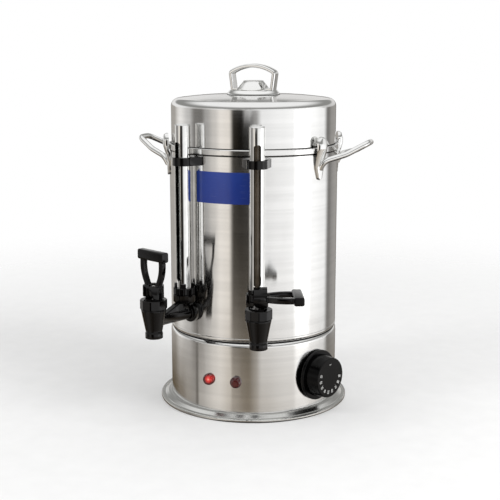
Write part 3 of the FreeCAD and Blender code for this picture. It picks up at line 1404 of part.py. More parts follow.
# Side handles: two leaf-shaped feet on the wall, and a bar that rises outwards between them
def makeSideHandle(side, azimuth):
    clearRim = urn.rimRadius + urn.seatGap * 2
    under = urn.rimBottom - urn.seatGap * 2
    feet = []
    for number, turn in enumerate((-urn.footAngle, urn.footAngle)):
        tag = "%s_foot_%d" % (side, number)
        band = newBody(tag + "_band")
        revolve(band, tag + "_band_form", [
            (urn.tankRadius, urn.footBottom - urn.wall),
            (urn.tankRadius + urn.footThick * 0.8, urn.footBottom - urn.wall),
            (urn.tankRadius + urn.footThick, urn.barRoot),
            (urn.tankRadius + urn.footThick * 1.7, under - urn.wall * 2),
            (urn.tankRadius + urn.footThick * 2.5, lidSeat - urn.wall * 3),
            (urn.tankRadius + urn.footThick * 2.6, lidSeat + urn.wall * 5),
            (urn.tankRadius + urn.footThick * 2, urn.footTop),
            (clearRim + urn.wall, urn.footTop + urn.wall * 2),
            (clearRim, urn.footTop + urn.wall * 2),
            (clearRim, under),
            (urn.tankRadius, under),
        ], angle=urn.footAngle)
        bind(band, "Placement.Rotation.Angle", asSize(-90))
        leaf = newBody(tag + "_leaf")
        sketch = newSketch(leaf, tag + "_leaf_sketch", "XZ_Plane")
        toe = urn.footHalf * 0.55
        drawOutline(sketch, [
            (toe, urn.footBottom + toe, toe, 1),
            (urn.footHalf, urn.barRoot + urn.wall * 8),
            (urn.footHalf, urn.footTop + urn.wall * 2 - urn.footHalf),
            (-urn.footHalf, urn.footTop + urn.wall * 2 - urn.footHalf, urn.footHalf, 1),
            (-urn.footHalf, urn.barRoot + urn.wall * 8),
            (-toe, urn.footBottom + toe),
        ])
        pad(leaf, tag + "_leaf_pad", sketch, urn.tankRadius + urn.footThick * 4)
        foot = common(tag, [band, leaf])
        feet.append(spun(tag + "_turned", foot, Vector(0, 0, 1), turn.value))
    rootRadius = urn.tankRadius.value + urn.footThick.value / 2
    angle = math.radians(urn.footAngle.value)
    root = Vector(rootRadius * math.sin(angle), -rootRadius * math.cos(angle), urn.barRoot.value - 3)
    # a round bar: up from each foot, out at the knee, across at the corner
    knee = Vector(root.x - 0.8, root.y - urn.barKnee.value * 0.55, root.z + urn.barKnee.value)
    corner = Vector(urn.barEnd.value, -urn.handleReach.value, urn.handleRise.value)
    points = [root, knee, corner]
    points += [Vector(-point.x, point.y, point.z) for point in reversed(points)]
    bends = [urn.kneeBend, urn.barCorner, urn.barCorner, urn.kneeBend]
    path = bentPath(points, [bend.value for bend in bends])
    bar = solidFeature(side + "_bar_sweep", sweepCircle(path, urn.barRadius.value))
    inside = cylinder(side + "_tank_tool", urn.tankRadius, urn.footTop * 2)
    rim = cylinder(side + "_rim_tool", clearRim, urn.footTop, (0, 0, under))
    solid = fuse(side + "_handle_fused", feet + [bar])
    tools = fuse(side + "_handle_clear", [inside, rim])
    finish("side_handle_" + side, cut(side + "_side_handle", solid, tools), azimuth)


# Brew pot, hung in the tank by its flange
def makeBrewPot():
    body = newBody("brew_pot")
    inner = urn.potRadius - urn.wall
    flangeTop = potFlangeBottom + urn.wall
    revolve(body, "pot_form", [
        (0, urn.potBottom),
        (urn.potRadius - urn.potRound, urn.potBottom),
        (urn.potRadius, urn.potBottom + urn.potRound, urn.potRound, 1),
        (urn.potRadius, potFlangeBottom - urn.wall * 2),
        (urn.potRadius + urn.wall * 2, potFlangeBottom, urn.wall * 2, -1),
        (urn.flangeEdge, potFlangeBottom),
        (urn.flangeEdge, flangeTop),
        (urn.potRadius + urn.wall * 2, flangeTop),
        (inner, potFlangeBottom - urn.wall * 2, urn.wall * 3, 1),
        (inner, urn.potBottom + urn.potRound),
        (urn.potRadius - urn.potRound, potFloor, urn.potRound - urn.wall, -1),
        (0, potFloor),
    ])
    reach = potFloor - urn.pipeBottom
    pipe = cylinder("tea_pipe", urn.pipeRadius, reach, (0, -urn.outletAxis, urn.pipeBottom))
    boreFoot = (0, -urn.outletAxis, urn.pipeBottom - urn.wall)
    bore = cylinder("tea_bore", urn.pipeRadius - urn.wall, reach + urn.wall * 2, boreFoot)
    pot = cut("brew_pot_cut", fuse("brew_pot_solid", [body, pipe]), bore)
    finish("brew_pot", pot, urn.tapAzimuth)


def makeStrainer():
    body = newBody("tea_strainer")
    inner = urn.strainerRadius - urn.wall * 0.8
    top = potFloor + urn.strainerHeight
    revolve(body, "strainer_form", [
        (inner, potFloor),
        (urn.strainerRadius, potFloor),
        (urn.strainerRadius, top - urn.wall * 2),
        (urn.strainerRadius - urn.wall * 2, top, urn.wall * 2, 1),
        (0, top),
        (0, top - urn.wall * 0.8),
        (urn.strainerRadius - urn.wall * 2, top - urn.wall * 0.8),
        (inner, top - urn.wall * 2, urn.wall * 1.2, -1),
    ])
    rows = newSketch(body, "strainer_hole_sketch", "XZ_Plane")
    pitch = urn.strainerHeight / (strainerRings + 1)
    for row in range(strainerRings):
        drawCircle(rows, 0, potFloor + pitch * (row + 0.8), urn.strainerHole)
    holes = pad(body, "strainer_holes", rows, urn.strainerRadius + urn.wall, reverse=True, cut=True)
    polarPattern(body, "strainer_rows", [holes], strainerHoles)
    finish("tea_strainer", body, urn.tapAzimuth, urn.outletAxis)


def makeTeaSocket():
    # a cup under the pot's pipe, with a nipple into the shank of the right tap
    floor = urn.tapHeight - urn.armRadius
    cup = newBody("tea_socket")
    bore = urn.pipeRadius + urn.seatGap
    revolve(cup, "socket_form", [
        (0, floor),
        (urn.socketRadius - urn.wall, floor),
        (urn.socketRadius, floor + urn.wall),
        (urn.socketRadius, urn.socketTop),
        (bore + urn.wall * 2, urn.socketTop),
        (bore, urn.socketTop - urn.wall * 2),
        (bore, floor + urn.wall * 2),
        (0, floor + urn.wall * 2),
    ])
    bind(cup, "Placement.Base.y", -urn.outletAxis)
    arm = newBody("tea_arm")
    start = urn.outletAxis + bore + urn.wall
    sleeve = urn.armRadius - urn.wall * 1.5
    revolve(arm, "tea_arm_form", [
        (0, start),
        (sleeve, start),
        (sleeve, shankEnd),
        (urn.armBore, shankEnd),
        (urn.armBore, shankEnd + urn.wall * 5),
        (0, shankEnd + urn.wall * 5),
    ])
    boreReach = shankEnd - urn.outletAxis + urn.wall * 8
    boreFoot = (0, -urn.outletAxis, urn.tapHeight)
    bored = cylinder("socket_bore", urn.armBore - urn.wall, boreReach, boreFoot, (0, -1, 0))
    solid = fuse("socket_solid", [cup, lying("tea_arm_laid", arm, urn.tapHeight)])
    finish("tea_outlet_socket", cut("socket_cut", solid, bored), urn.tapAzimuth)


# Lid
def makeLid():
    body = newBody("lid_shell")
    edge = urn.lidRadius - urn.lidRound
    revolve(body, "lid_form", [
        (urn.lidRadius - urn.wall, lidBottom),
        (urn.lidRadius, lidBottom),
        (urn.lidRadius, urn.lidTop - urn.lidRound),
        (edge, urn.lidTop, urn.lidRound, 1),
        (urn.bossRadius, urn.lidBoss, urn.domeRadius, 1),
        (0, urn.lidBoss),
        (0, urn.lidBoss - urn.wall),
        (urn.bossRadius, urn.lidBoss - urn.wall),
        (edge, urn.lidTop - urn.wall, urn.domeRadius - urn.wall, -1),
        (urn.lidRadius - urn.wall, urn.lidTop - urn.lidRound, urn.lidRound - urn.wall, -1),
    ])
    plate = newBody("lid_plate")
    hollowTop = urn.plateTop - urn.plateWall
    revolve(plate, "plate_form", [
        (urn.plateRadius - urn.wall * 2, urn.lidBoss),
        (urn.plateRadius, urn.lidBoss),
        (urn.plateRadius, urn.lidBoss + urn.plateEdge),
        (urn.plateRadius - urn.wall * 3, urn.lidBoss + urn.plateFlat),
        (urn.plateFoot, urn.lidBoss + urn.plateFlat),
        (urn.plateCone, urn.lidBoss + urn.plateTop - urn.wall),
        (urn.plateCone - urn.wall, urn.lidBoss + urn.plateTop, urn.wall, 1),
        (0, urn.lidBoss + urn.plateTop),
        (0, urn.lidBoss + hollowTop),
        (urn.plateCone - urn.plateWall * 1.5, urn.lidBoss + hollowTop),
        (urn.plateCone - urn.plateWall * 0.5, urn.lidBoss + urn.plateFlat - urn.plateWall),
        (urn.plateRadius - urn.wall * 4, urn.lidBoss + urn.plateFlat - urn.plateWall),
    ])
    recesses = []
    screwHoles = []
    plateHoles = []
    screws = []
    inset = urn.strapFoot - urn.strapWall
    middle = (urn.tabEnd + inset) / 2
    top = urn.lidBoss + urn.plateFlat + urn.strapWall - urn.wall / 2
    under = urn.lidBoss - urn.wall
    for side in (-1, 1):
        tag = "_%d" % (side + 1)
        width = urn.plateFoot - urn.tabEnd + urn.wall * 4
        start = urn.tabEnd - urn.seatGap if side > 0 else -(urn.tabEnd - urn.seatGap) - width
        recesses.append(box("tab_recess" + tag, width, urn.strapDepth + urn.seatGap * 2, urn.plateTop,
                            (start, -(urn.strapDepth / 2 + urn.seatGap), urn.lidBoss + urn.plateFlat)))
        spot = (middle * side, 0, under - urn.wall)
        screwHoles.append(cylinder("tab_hole" + tag, urn.lidScrew, top - under + urn.wall, spot))
        plateHoles.append(cylinder("plate_hole" + tag, urn.lidScrew + urn.seatGap / 2, urn.plateTop, spot))
        spot = middle * side
        shankReach = top - under + urn.wall / 2
        shank = cylinder("lid_screw_shank" + tag, urn.lidScrew, shankReach, (spot, 0, under - urn.wall / 2))
        headFoot = (spot, 0, under - urn.wall * 2)
        head = cylinder("lid_screw_head" + tag, urn.lidScrew * 2, urn.wall * 2, headFoot)
        screws.append(fuse("lid_screw" + tag, [shank, head]))
    holeTool = fuse("plate_hole_tool", plateHoles)
    strap = newBody("lid_strap")
    sketch = newSketch(strap, "strap_sketch", "XZ_Plane")
    low = urn.lidBoss + urn.plateFlat
    knee = urn.lidBoss + urn.kneeHeight
    apex = urn.lidBoss + urn.strapTop
    drop = urn.strapWall * 0.6
    kneeIn = urn.strapKnee - urn.strapWall
    drawOutline(sketch, [
        (urn.tabEnd, low),
        (urn.strapFoot, low),
        (urn.strapKnee, knee),
        (0, apex, urn.strapArch, 1),
        (-urn.strapKnee, knee, urn.strapArch, 1),
        (-urn.strapFoot, low),
        (-urn.tabEnd, low),
        (-urn.tabEnd, low + urn.strapWall),
        (-inset, low + urn.strapWall),
        (-kneeIn, knee - drop),
        (0, apex - urn.strapWall, urn.strapArch - urn.strapWall / 2, -1),
        (kneeIn, knee - drop, urn.strapArch - urn.strapWall / 2, -1),
        (inset, low + urn.strapWall),
        (urn.tabEnd, low + urn.strapWall),
    ])
    pad(strap, "strap_band", sketch, urn.strapDepth, middle=True)
    roundEdges(strap, "strap_knees", urn.strapWall, strapKneeEdge)
    strapCut = cut("strap_cut", strap, fuse("strap_hole_tool", screwHoles))
    plateCut = cut("plate_cut", plate, fuse("plate_tools", recesses + [holeTool]))
    finish("lid_shell", cut("lid_cut", body, holeTool))
    finish("lid_handle_plate", plateCut)
    finish("lid_handle_strap", strapCut)
    finish("lid_screws", group("lid_screw_pair", screws))


def strapKneeEdge(edge):
    # the outer corner lines at the knees, across the band
    box = edge.BoundBox
    high = abs(box.ZMin - urn.lidBoss.value - urn.kneeHeight.value) < 0.05
    return high and box.ZLength < 0.01 and abs(abs(box.XMax) - urn.strapKnee.value) < 0.05


makeBaseShell()
makeBaseRing()
makeBottomCover()
makeCoverScrews()
makeTankShell()
makeTankRim()
makeTankFloor()
makeHeater()
makeHeaterFixings()
makeThermostat()
makeBulb()
makeLamps()
makeTerminalBlock()
makeCableGland()
makeLabel()
makeKnob()
for tapSide, tapTurn, tapOpen in (("left", -urn.tapAzimuth, False), ("right", urn.tapAzimuth, True)):
    tapSpin = 90 if tapOpen else 0
    stemRaise = urn.lift if tapOpen else asSize(0)
    makeTapBody(tapSide, tapTurn)
    makeTapSeals(tapSide, tapTurn)
    makeTapNut(tapSide, tapTurn)
    makeBonnet(tapSide, tapTurn)
    makeStem(tapSide, tapTurn, tapSpin, stemRaise)
    makeSpring(tapSide, tapTurn, stemRaise)
    makeHandle(tapSide, tapTurn, tapSpin, tapOpen)
    makeGauge(tapSide, tapTurn)
makeSideHandle("right", urn.handleAzimuth)
makeSideHandle("left", urn.handleAzimuth + 180)
makeBrewPot()
makeStrainer()
makeTeaSocket()
makeLid()
doc.recompute()

failed = [item.Name for item in doc.Objects if "Invalid" in item.State or "Error" in item.State]
if failed:
    raise RuntimeError("not built: " + ", ".join(failed))
os.makedirs("parts", exist_ok=True)
for item in exported:
    shape = item.Shape
    if shape.isNull() or not shape.isValid() or not shape.Solids or shape.Volume < 1:
        raise RuntimeError("bad shape: " + item.Label)
for item in exported:
    item.Shape.exportStep("parts/%s.step" % item.Label)
print("pieces:", len(exported))
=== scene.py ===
import math

import bmesh
import bpy
from mathutils import Matrix, Vector


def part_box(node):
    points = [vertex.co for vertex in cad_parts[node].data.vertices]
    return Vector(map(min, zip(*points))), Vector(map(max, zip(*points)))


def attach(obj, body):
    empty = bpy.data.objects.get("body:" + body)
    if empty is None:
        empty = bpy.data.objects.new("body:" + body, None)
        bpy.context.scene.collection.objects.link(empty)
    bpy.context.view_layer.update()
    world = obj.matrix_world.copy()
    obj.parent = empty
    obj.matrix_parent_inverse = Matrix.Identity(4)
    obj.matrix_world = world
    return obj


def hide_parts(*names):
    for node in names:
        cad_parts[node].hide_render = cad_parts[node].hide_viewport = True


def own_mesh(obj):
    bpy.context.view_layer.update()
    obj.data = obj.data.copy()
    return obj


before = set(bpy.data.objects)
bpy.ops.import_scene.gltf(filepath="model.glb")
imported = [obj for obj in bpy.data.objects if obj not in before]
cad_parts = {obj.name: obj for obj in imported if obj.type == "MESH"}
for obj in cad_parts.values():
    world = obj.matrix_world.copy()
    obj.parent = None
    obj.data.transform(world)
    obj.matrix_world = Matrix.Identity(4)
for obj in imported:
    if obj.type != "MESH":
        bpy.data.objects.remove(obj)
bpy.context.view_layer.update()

# Tea urn. Metres, +Z up, the two taps to the front (-Y); an azimuth grows from the front towards +X.


def towards(azimuth, distance=1.0, height=0.0):
    # the point at that azimuth, in degrees, that far from the urn's axis
    angle = math.radians(azimuth)
    return Vector((math.sin(angle) * distance, -math.cos(angle) * distance, height))


def addObject(name, data):
    made = bpy.data.objects.new(name, data)
    bpy.context.scene.collection.objects.link(made)
    return made


def rgb(red, green, blue):
    return (red, green, blue, 1.0)


# Camera, floor and light

cameraValues = {
    "azimuth": 21.0,  # degrees from the front
    "distance": 1.2825,  # from the urn's axis
    "height": 0.43,
    "pitch": 11.03,  # degrees downwards
    "focus": 1075.0,  # focal length in pixels of the photograph
    "axisColumn": 253.5,  # where the urn's axis stands in the photograph
    "picture": 500.0,  # width of the photograph in pixels
    "sensor": 36.0,
}


def makeCamera(v):
    data = bpy.data.cameras.new("photoCamera")
    data.sensor_width = v["sensor"]
    data.lens = v["focus"] / v["picture"] * v["sensor"]
    camera = addObject("photoCamera", data)
    camera.location = towards(v["azimuth"], v["distance"], v["height"])
    turn = math.degrees(math.atan((v["axisColumn"] - v["picture"] / 2) / v["focus"]))
    camera.rotation_euler = (math.radians(90 - v["pitch"]), 0, math.radians(v["azimuth"] + turn))
    bpy.context.scene.camera = camera
    bpy.context.scene.view_settings.view_transform = "Standard"  # a plain studio print, white paper is white


class Value:
    # a number, colour or vector on its way through a material; arithmetic adds Math nodes
    def __init__(self, finish, socket):
        self.finish = finish
        self.socket = socket

    def joined(self, operation, first, second):
        return self.finish.node("Math", {"operation": operation}, {0: first, 1: second})

    def __add__(self, other):
        return self.joined("ADD", self, other)

    def __radd__(self, other):
        return self.joined("ADD", other, self)

    def __sub__(self, other):
        return self.joined("SUBTRACT", self, other)

    def __rsub__(self, other):
        return self.joined("SUBTRACT", other, self)

    def __mul__(self, other):
        return self.joined("MULTIPLY", self, other)

    def __rmul__(self, other):
        return self.joined("MULTIPLY", other, self)

    def __truediv__(self, other):
        return self.joined("DIVIDE", self, other)

    def __lt__(self, other):
        return self.joined("LESS_THAN", self, other)

    def __gt__(self, other):
        return self.joined("GREATER_THAN", self, other)


class Finish:
    # one node tree, of a material or of the world
    def __init__(self, name, owner=None):
        self.material = owner or bpy.data.materials.new(name)
        self.material.use_nodes = True
        self.tree = self.material.node_tree
        self.tree.nodes.clear()

    def node(self, kind, settings=None, inputs=None, out=0):
        made = self.tree.nodes.new("ShaderNode" + kind)
        for name, value in (settings or {}).items():
            if name == "stops":
                self.setStops(made.color_ramp, value)
            elif name == "blend":
                made.color_ramp.interpolation = value
            else:
                setattr(made, name, value)
        for name, value in (inputs or {}).items():
            if isinstance(value, Value):
                self.tree.links.new(value.socket, made.inputs[name])
            else:
                made.inputs[name].default_value = value
        return Value(self, made.outputs[out]) if made.outputs else None

    def setStops(self, ramp, stops):
        while len(ramp.elements) < len(stops):
            ramp.elements.new(1.0)
        for element, (place, colour) in zip(ramp.elements, stops):
            element.position = place
            element.color = rgb(*colour)

    def place(self):
        return self.node("TexCoord", out="Object")

    def parts(self, vector):
        return [self.node("SeparateXYZ", inputs={0: vector}, out=axis) for axis in range(3)]

    def root(self, value):
        return self.node("Math", {"operation": "SQRT"}, {0: value})

    def noise(self, vector, scale, detail=3.0, roughness=0.55):
        inputs = {"Vector": vector, "Scale": scale, "Detail": detail, "Roughness": roughness}
        return self.node("TexNoise", inputs=inputs)

    def drawnOut(self, x, y, z, scales, detail=3.0, roughness=0.55):
        # noise of one scale across and another upwards
        across, along = scales
        vector = self.node("CombineXYZ", inputs={0: x * across, 1: y * across, 2: z * along})
        return self.noise(vector, 1.0, detail, roughness)

    def limit(self, value, low, high):
        inputs = {"Value": value, "From Min": low, "From Max": high}
        return self.node("MapRange", {"interpolation_type": "SMOOTHSTEP"}, inputs)

    def mix(self, factor, first, second):
        return self.node("Mix", {"data_type": "RGBA"}, {0: factor, 6: first, 7: second}, 2)

    def bump(self, height, strength, distance):
        return self.node("Bump", inputs={"Height": height, "Strength": strength, "Distance": distance})

    def surface(self, **inputs):
        names = {name.replace("_", " "): value for name, value in inputs.items()}
        shader = self.node("BsdfPrincipled", inputs=names)
        self.node("OutputMaterial", inputs={"Surface": shader})
        return self.material


floorValues = {
    "radius": 3.0,
    "sides": 96,
    "colour": (0.9, 0.9, 0.9),
    "flecks": (0.84, 0.84, 0.84),
    "fleckScale": 40.0,
    "fadeFrom": 0.3,  # the floor melts into the background between these two radii
    "fadeTo": 1.2,
}


def makeFloor(v):
    mesh = bpy.data.meshes.new("studioFloor")
    shape = bmesh.new()
    bmesh.ops.create_circle(shape, cap_ends=True, radius=v["radius"], segments=v["sides"])
    shape.to_mesh(mesh)
    shape.free()
    floor = addObject("studioFloor", mesh)
    floor.visible_glossy = False  # shiny walls show the studio's panels down to their foot
    finish = Finish("studioFloor")
    place = finish.place()
    x, y, z = finish.parts(place)
    fade = finish.limit(finish.root(x * x + y * y), v["fadeFrom"], v["fadeTo"])
    colour = finish.mix(finish.noise(place, v["fleckScale"]), rgb(*v["colour"]), rgb(*v["flecks"]))
    paper = finish.node("BsdfDiffuse", inputs={"Color": colour})
    clear = finish.node("BsdfTransparent")
    shader = finish.node("MixShader", inputs={0: fade, 1: paper, 2: clear})
    finish.node("OutputMaterial", inputs={"Surface": shader})
    mesh.materials.append(finish.material)


# The studio round the urn: soft panels and dark gaps, by azimuth; a shiny wall shows them as upright bands
studioValues = {
    "panels": [  # azimuth, brightness, warmth
        (-180, 0.36, 0.1), (-170, 0.1, 0.2), (-154, 0.1, 0.2), (-144, 0.38, 0.12), (-122, 0.42, 0.12),
        (-100, 0.9, 0.05), (-80, 0.6, 0.04), (-66, 0.2, 0.1), (-56, 0.18, 0.1), (-46, 0.42, 0.06),
        (-34, 0.66, 0.1), (-24, 0.92, 0.12), (-13, 0.88, 0.14), (-6, 0.02, 0.4), (3, 0.004, 0.5),
        (14, 0.02, 0.15), (24, 0.3, 0.05), (33, 0.95, 0.0), (60, 1.05, 0.0), (76, 1.12, 0.0), (84, 1.9, 0.0),
        (98, 1.9, 0.0), (108, 1.2, 0.0), (134, 1.05, 0.0), (146, 0.2, 0.08), (162, 0.34, 0.08),
    ],
    "table": [  # the same below the horizon, where the base looks down at a table
        (-180, 0.2, 0.25), (-160, 0.06, 0.3), (-140, 0.1, 0.6), (-98, 0.13, 0.55), (-84, 0.28, 0.25),
        (-68, 0.34, 0.16), (-64, 0.1, 0.3), (-60, 0.5, 0.14), (-30, 0.72, 0.14), (-8, 0.5, 0.24),
        (14, 0.3, 0.35), (34, 0.48, 0.2), (70, 0.64, 0.14), (110, 0.7, 0.12), (130, 0.5, 0.12),
        (142, 0.24, 0.2), (160, 0.2, 0.25),
    ],
    "sky": [  # and just above it, where the lid looks up
        (-180, 0.72, 0.03), (-100, 0.95, 0.0), (-60, 0.5, 0.05), (-24, 0.95, 0.03), (0, 0.35, 0.05),
        (30, 0.95, 0.0), (110, 1.15, 0.0), (145, 0.6, 0.02),
    ],
    "under": (0.05, 0.05, 0.05),  # straight down
    "loft": (0.3, 0.3, 0.291),  # grey, between the sky and the bright ceiling
    "ceiling": (1.0, 1.0, 1.0),
    "steps": {  # where each takes over from the one below it, from -1 straight down to 1 straight up
        "table": (-0.8, -0.5), "panels": (-0.303, -0.252), "sky": (0.0, 0.07), "loft": (0.2, 0.3),
        "ceiling": (0.45, 0.8)},
    "greening": 0.45,  # share of a panel's warmth that its green loses too
    "background": (1.0, 1.0, 1.0),  # what the camera sees behind the urn
    "top": 3.4,  # the brightest that a panel can be
}


def makeRing(finish, share, panels, v):
    # one turn of panels as a ramp; the ramp ends where it starts
    stops = []
    for azimuth, bright, warm in panels + [(180, *panels[0][1:])]:
        level = bright / v["top"]
        stops.append((azimuth / 360 + 0.5, (level, level * (1 - warm * v["greening"]), level * (1 - warm))))
    return finish.node("ValToRGB", {"stops": stops, "blend": "EASE"}, {0: share})


def makeWorld(v):
    world = bpy.data.worlds.new("studio")
    bpy.context.scene.world = world
    finish = Finish("studio", world)
    x, y, z = finish.parts(finish.node("TexCoord", out="Generated"))
    share = finish.node("Math", {"operation": "ARCTAN2"}, {0: x, 1: 0.0 - y}) / (2 * math.pi) + 0.5
    layers = {name: makeRing(finish, share, v[name], v) for name in ("panels", "table", "sky")}
    for name in ("under", "loft", "ceiling"):
        layers[name] = rgb(*[part / v["top"] for part in v[name]])
    studio = layers["under"]
    for name, (low, high) in v["steps"].items():
        studio = finish.mix(finish.limit(z, low, high), studio, layers[name])
    light = finish.node("Background", inputs={"Color": studio, "Strength": v["top"]})
    plain = finish.node("Background", inputs={"Color": rgb(*v["background"]), "Strength": 1.0})
    seen = finish.node("LightPath", out="Is Camera Ray")
    shader = finish.node("MixShader", inputs={0: seen, 1: light, 2: plain})
    finish.node("OutputWorld", inputs={"Surface": shader})


lampValues = {
    "aim": Vector((0, 0, 0.2)),
    "lamps": [
        {"azimuth": 75.0, "distance": 1.6, "height": 1.3, "size": 0.9, "power": 16.0},
        {"azimuth": -40.0, "distance": 1.8, "height": 1.5, "size": 0.7, "power": 10.0}],
}


def makeLamps(v):
    for number, one in enumerate(v["lamps"]):
        data = bpy.data.lights.new("softLight%d" % number, "AREA")
        data.shape = "DISK"
        data.size = one["size"]
        data.energy = one["power"]
        lamp = addObject(data.name, data)
        lamp.location = towards(one["azimuth"], one["distance"], one["height"])
        lamp.rotation_euler = (v["aim"] - lamp.location).to_track_quat("-Z", "Y").to_euler()
        lamp.visible_glossy = False  # the shiny walls show the panels alone


makeCamera(cameraValues)
makeFloor(floorValues)
makeWorld(studioValues)
makeLamps(lampValues)
print("scene: camera, floor and light")


# Finishes: each has its own values, and one pattern for its kind

jointShadowLines = [(0.3031, 0.3047), (0.3112, 0.3121)]  # heights of dark lines painted into the joints between lid, rim and tank: painted shadow

steelValues = {
    "satinSteel": {
        "colour": (0.87, 0.868, 0.86), "rough": 0.13, "spread": 0.85, "lines": 0.06, "depth": 0.00001,
        "grime": jointShadowLines},
    "lidSteel": {
        "colour": (0.87, 0.868, 0.86), "rough": 0.075, "spread": 0.85, "lines": 0.04, "depth": 0.00001,
        "grime": jointShadowLines},
    "ringSteel": {
        "colour": (0.7, 0.7, 0.68), "rough": 0.24, "spread": 0.4, "lines": 0.14, "depth": 0.00002,
        "grime": []},
    "brightSteel": {
        "colour": (0.9, 0.9, 0.89), "rough": 0.07, "spread": 0.0, "lines": 0.04, "depth": 0.00001,
        "grime": []},
    "plainSteel": {
        "colour": (0.62, 0.615, 0.6), "rough": 0.32, "spread": 0.0, "lines": 0.2, "depth": 0.00003,
        "grime": []},
}

steelPattern = {
    "line": (6, 900),  # scales round the axis and upwards
    "streak": (3, 140),
    "streakRough": 0.3,  # share of the lines' roughness that the streaks have
    "streakEdges": (0.3, 0.7),
    "streakDark": 0.7,
    "smudge": 18.0,
    "smudgeEdges": (0.45, 0.75),
    "smudgeRough": 0.03,
    "smudgeDark": 0.3,
    "dark": 0.9,
    # colour and cover of the painted shadow lines in the joints
    "shadowLineColour": (0.02, 0.018, 0.015),
    "shadowLineCover": 0.94,
    "bump": 0.25,
}


def steelFinish(name, v, pattern=steelPattern):
    # brush lines run round the axis, so they change with the radius and the height only
    finish = Finish(name)
    place = finish.place()
    x, y, z = finish.parts(place)
    level = z + finish.root(x * x + y * y)
    lines = finish.drawnOut(x, y, level, pattern["line"], 4.0, 0.6)
    streaks = finish.drawnOut(x, y, level, pattern["streak"], 2.0)
    dull = finish.limit(finish.noise(place, pattern["smudge"]), *pattern["smudgeEdges"])
    rough = v["rough"] + (lines - 0.5) * v["lines"] + (streaks - 0.5) * v["lines"] * pattern["streakRough"]
    bright = rgb(*v["colour"])
    dark = rgb(*[part * pattern["dark"] for part in v["colour"]])
    shade = finish.limit(streaks, *pattern["streakEdges"]) * pattern["streakDark"]
    colour = finish.mix(shade + dull * pattern["smudgeDark"], bright, dark)
    # painted shadow: a dark line at each of these heights, where the joints between lid, rim and tank fall
    # into shade
    for low, high in v["grime"]:
        cover = (z > low) * (z < high) * pattern["shadowLineCover"]
        colour = finish.mix(cover, colour, rgb(*pattern["shadowLineColour"]))
    return finish.surface(
        Base_Color=colour, Metallic=1.0, Roughness=rough + dull * pattern["smudgeRough"],
        Anisotropic=v["spread"], Anisotropic_Rotation=0.25,
        Normal=finish.bump(lines, pattern["bump"], v["depth"]))


plasticValues = {
    "tapPlastic": {
        "colour": (0.0014, 0.0011, 0.0011), "worn": (0.006, 0.0045, 0.004), "rough": 0.045, "shine": 0.3,
        "grain": 260.0, "depth": 0.00001},
    "knobPlastic": {
        "colour": (0.001, 0.001, 0.0011), "worn": (0.004, 0.004, 0.0045), "rough": 0.2, "shine": 0.16,
        "grain": 900.0, "depth": 0.00005},
    "sealRubber": {
        "colour": (0.004, 0.004, 0.004), "worn": (0.012, 0.012, 0.011), "rough": 0.55, "shine": 0.25,
        "grain": 500.0, "depth": 0.00006},
    "terminalCeramic": {
        "colour": (0.8, 0.79, 0.75), "worn": (0.68, 0.66, 0.6), "rough": 0.35, "shine": 0.5,
        "grain": 500.0, "depth": 0.00003},
    "numberPaint": {
        "colour": (0.8, 0.8, 0.78), "worn": (0.5, 0.5, 0.48), "rough": 0.5, "shine": 0.4,
        "grain": 900.0, "depth": 0.00003},
}

plasticPattern = {
    "cloud": 55.0,
    "cloudEdges": (0.52, 0.8),
    "wornCover": 0.8,
    "wornRough": 0.1,
    "grainRough": 0.06,
    "bump": 0.3,
}


def plasticFinish(name, v, pattern=plasticPattern):
    finish = Finish(name)
    place = finish.place()
    grain = finish.noise(place, v["grain"], 2.0)
    worn = finish.limit(finish.noise(place, pattern["cloud"]), *pattern["cloudEdges"])
    colour = finish.mix(worn * pattern["wornCover"], rgb(*v["colour"]), rgb(*v["worn"]))
    rough = v["rough"] + worn * pattern["wornRough"] + (grain - 0.5) * pattern["grainRough"]
    return finish.surface(
        Base_Color=colour, Roughness=rough, Specular_IOR_Level=v["shine"],
        Normal=finish.bump(grain, pattern["bump"], v["depth"]))


heaterValues = {
    "cloud": 45.0,
    "grain": 600.0,
    "colours": [  # an oxidised sheath, straw and blue where it ran hot
        (0.3, (0.36, 0.33, 0.3)), (0.48, (0.4, 0.31, 0.2)), (0.6, (0.24, 0.25, 0.32)),
        (0.75, (0.5, 0.49, 0.47))],
    "rough": 0.38,
    "grainRough": 0.2,
    "depth": 0.00004,
}


def heaterFinish(name, v):
    finish = Finish(name)
    place = finish.place()
    clouds = finish.noise(place, v["cloud"], 4.0)
    grain = finish.noise(place, v["grain"], 2.0)
    colour = finish.node("ValToRGB", {"stops": v["colours"]}, {0: clouds})
    return finish.surface(
        Base_Color=colour, Metallic=0.9, Roughness=v["rough"] + grain * v["grainRough"],
        Normal=finish.bump(grain, 0.4, v["depth"]))


glassValues = {
    "clearGlass": {"colour": (0.93, 0.95, 0.94), "film": (0.62, 0.6, 0.55), "clear": 0.75},
    "stainedGlass": {"colour": (0.17, 0.135, 0.1), "film": (0.1, 0.075, 0.05), "clear": 0.35},
}

glassPattern = {
    "ring": (8, 90),  # scales round the tube and upwards
    "ringEdges": (0.4, 0.7),
    "ringCover": 0.5,
    "speck": 700.0,
    "speckEdges": (0.62, 0.7),
    "speckCover": 0.25,
    "rough": 0.03,
    "filmRough": 0.2,
    "depth": 0.00005,
}


def glassFinish(name, v, pattern=glassPattern):
    # scale has settled on the tube in uneven rings
    finish = Finish(name)
    place = finish.place()
    x, y, z = finish.parts(place)
    rings = finish.drawnOut(x, y, z, pattern["ring"])
    specks = finish.noise(place, pattern["speck"], 2.0)
    film = (finish.limit(rings, *pattern["ringEdges"]) * pattern["ringCover"]
            + finish.limit(specks, *pattern["speckEdges"]) * pattern["speckCover"])
    colour = finish.mix(film, rgb(*v["colour"]), rgb(*v["film"]))
    return finish.surface(
        Base_Color=colour, Roughness=pattern["rough"] + film * pattern["filmRough"],
        Transmission_Weight=v["clear"], IOR=1.47, Normal=finish.bump(rings, 0.1, pattern["depth"]))
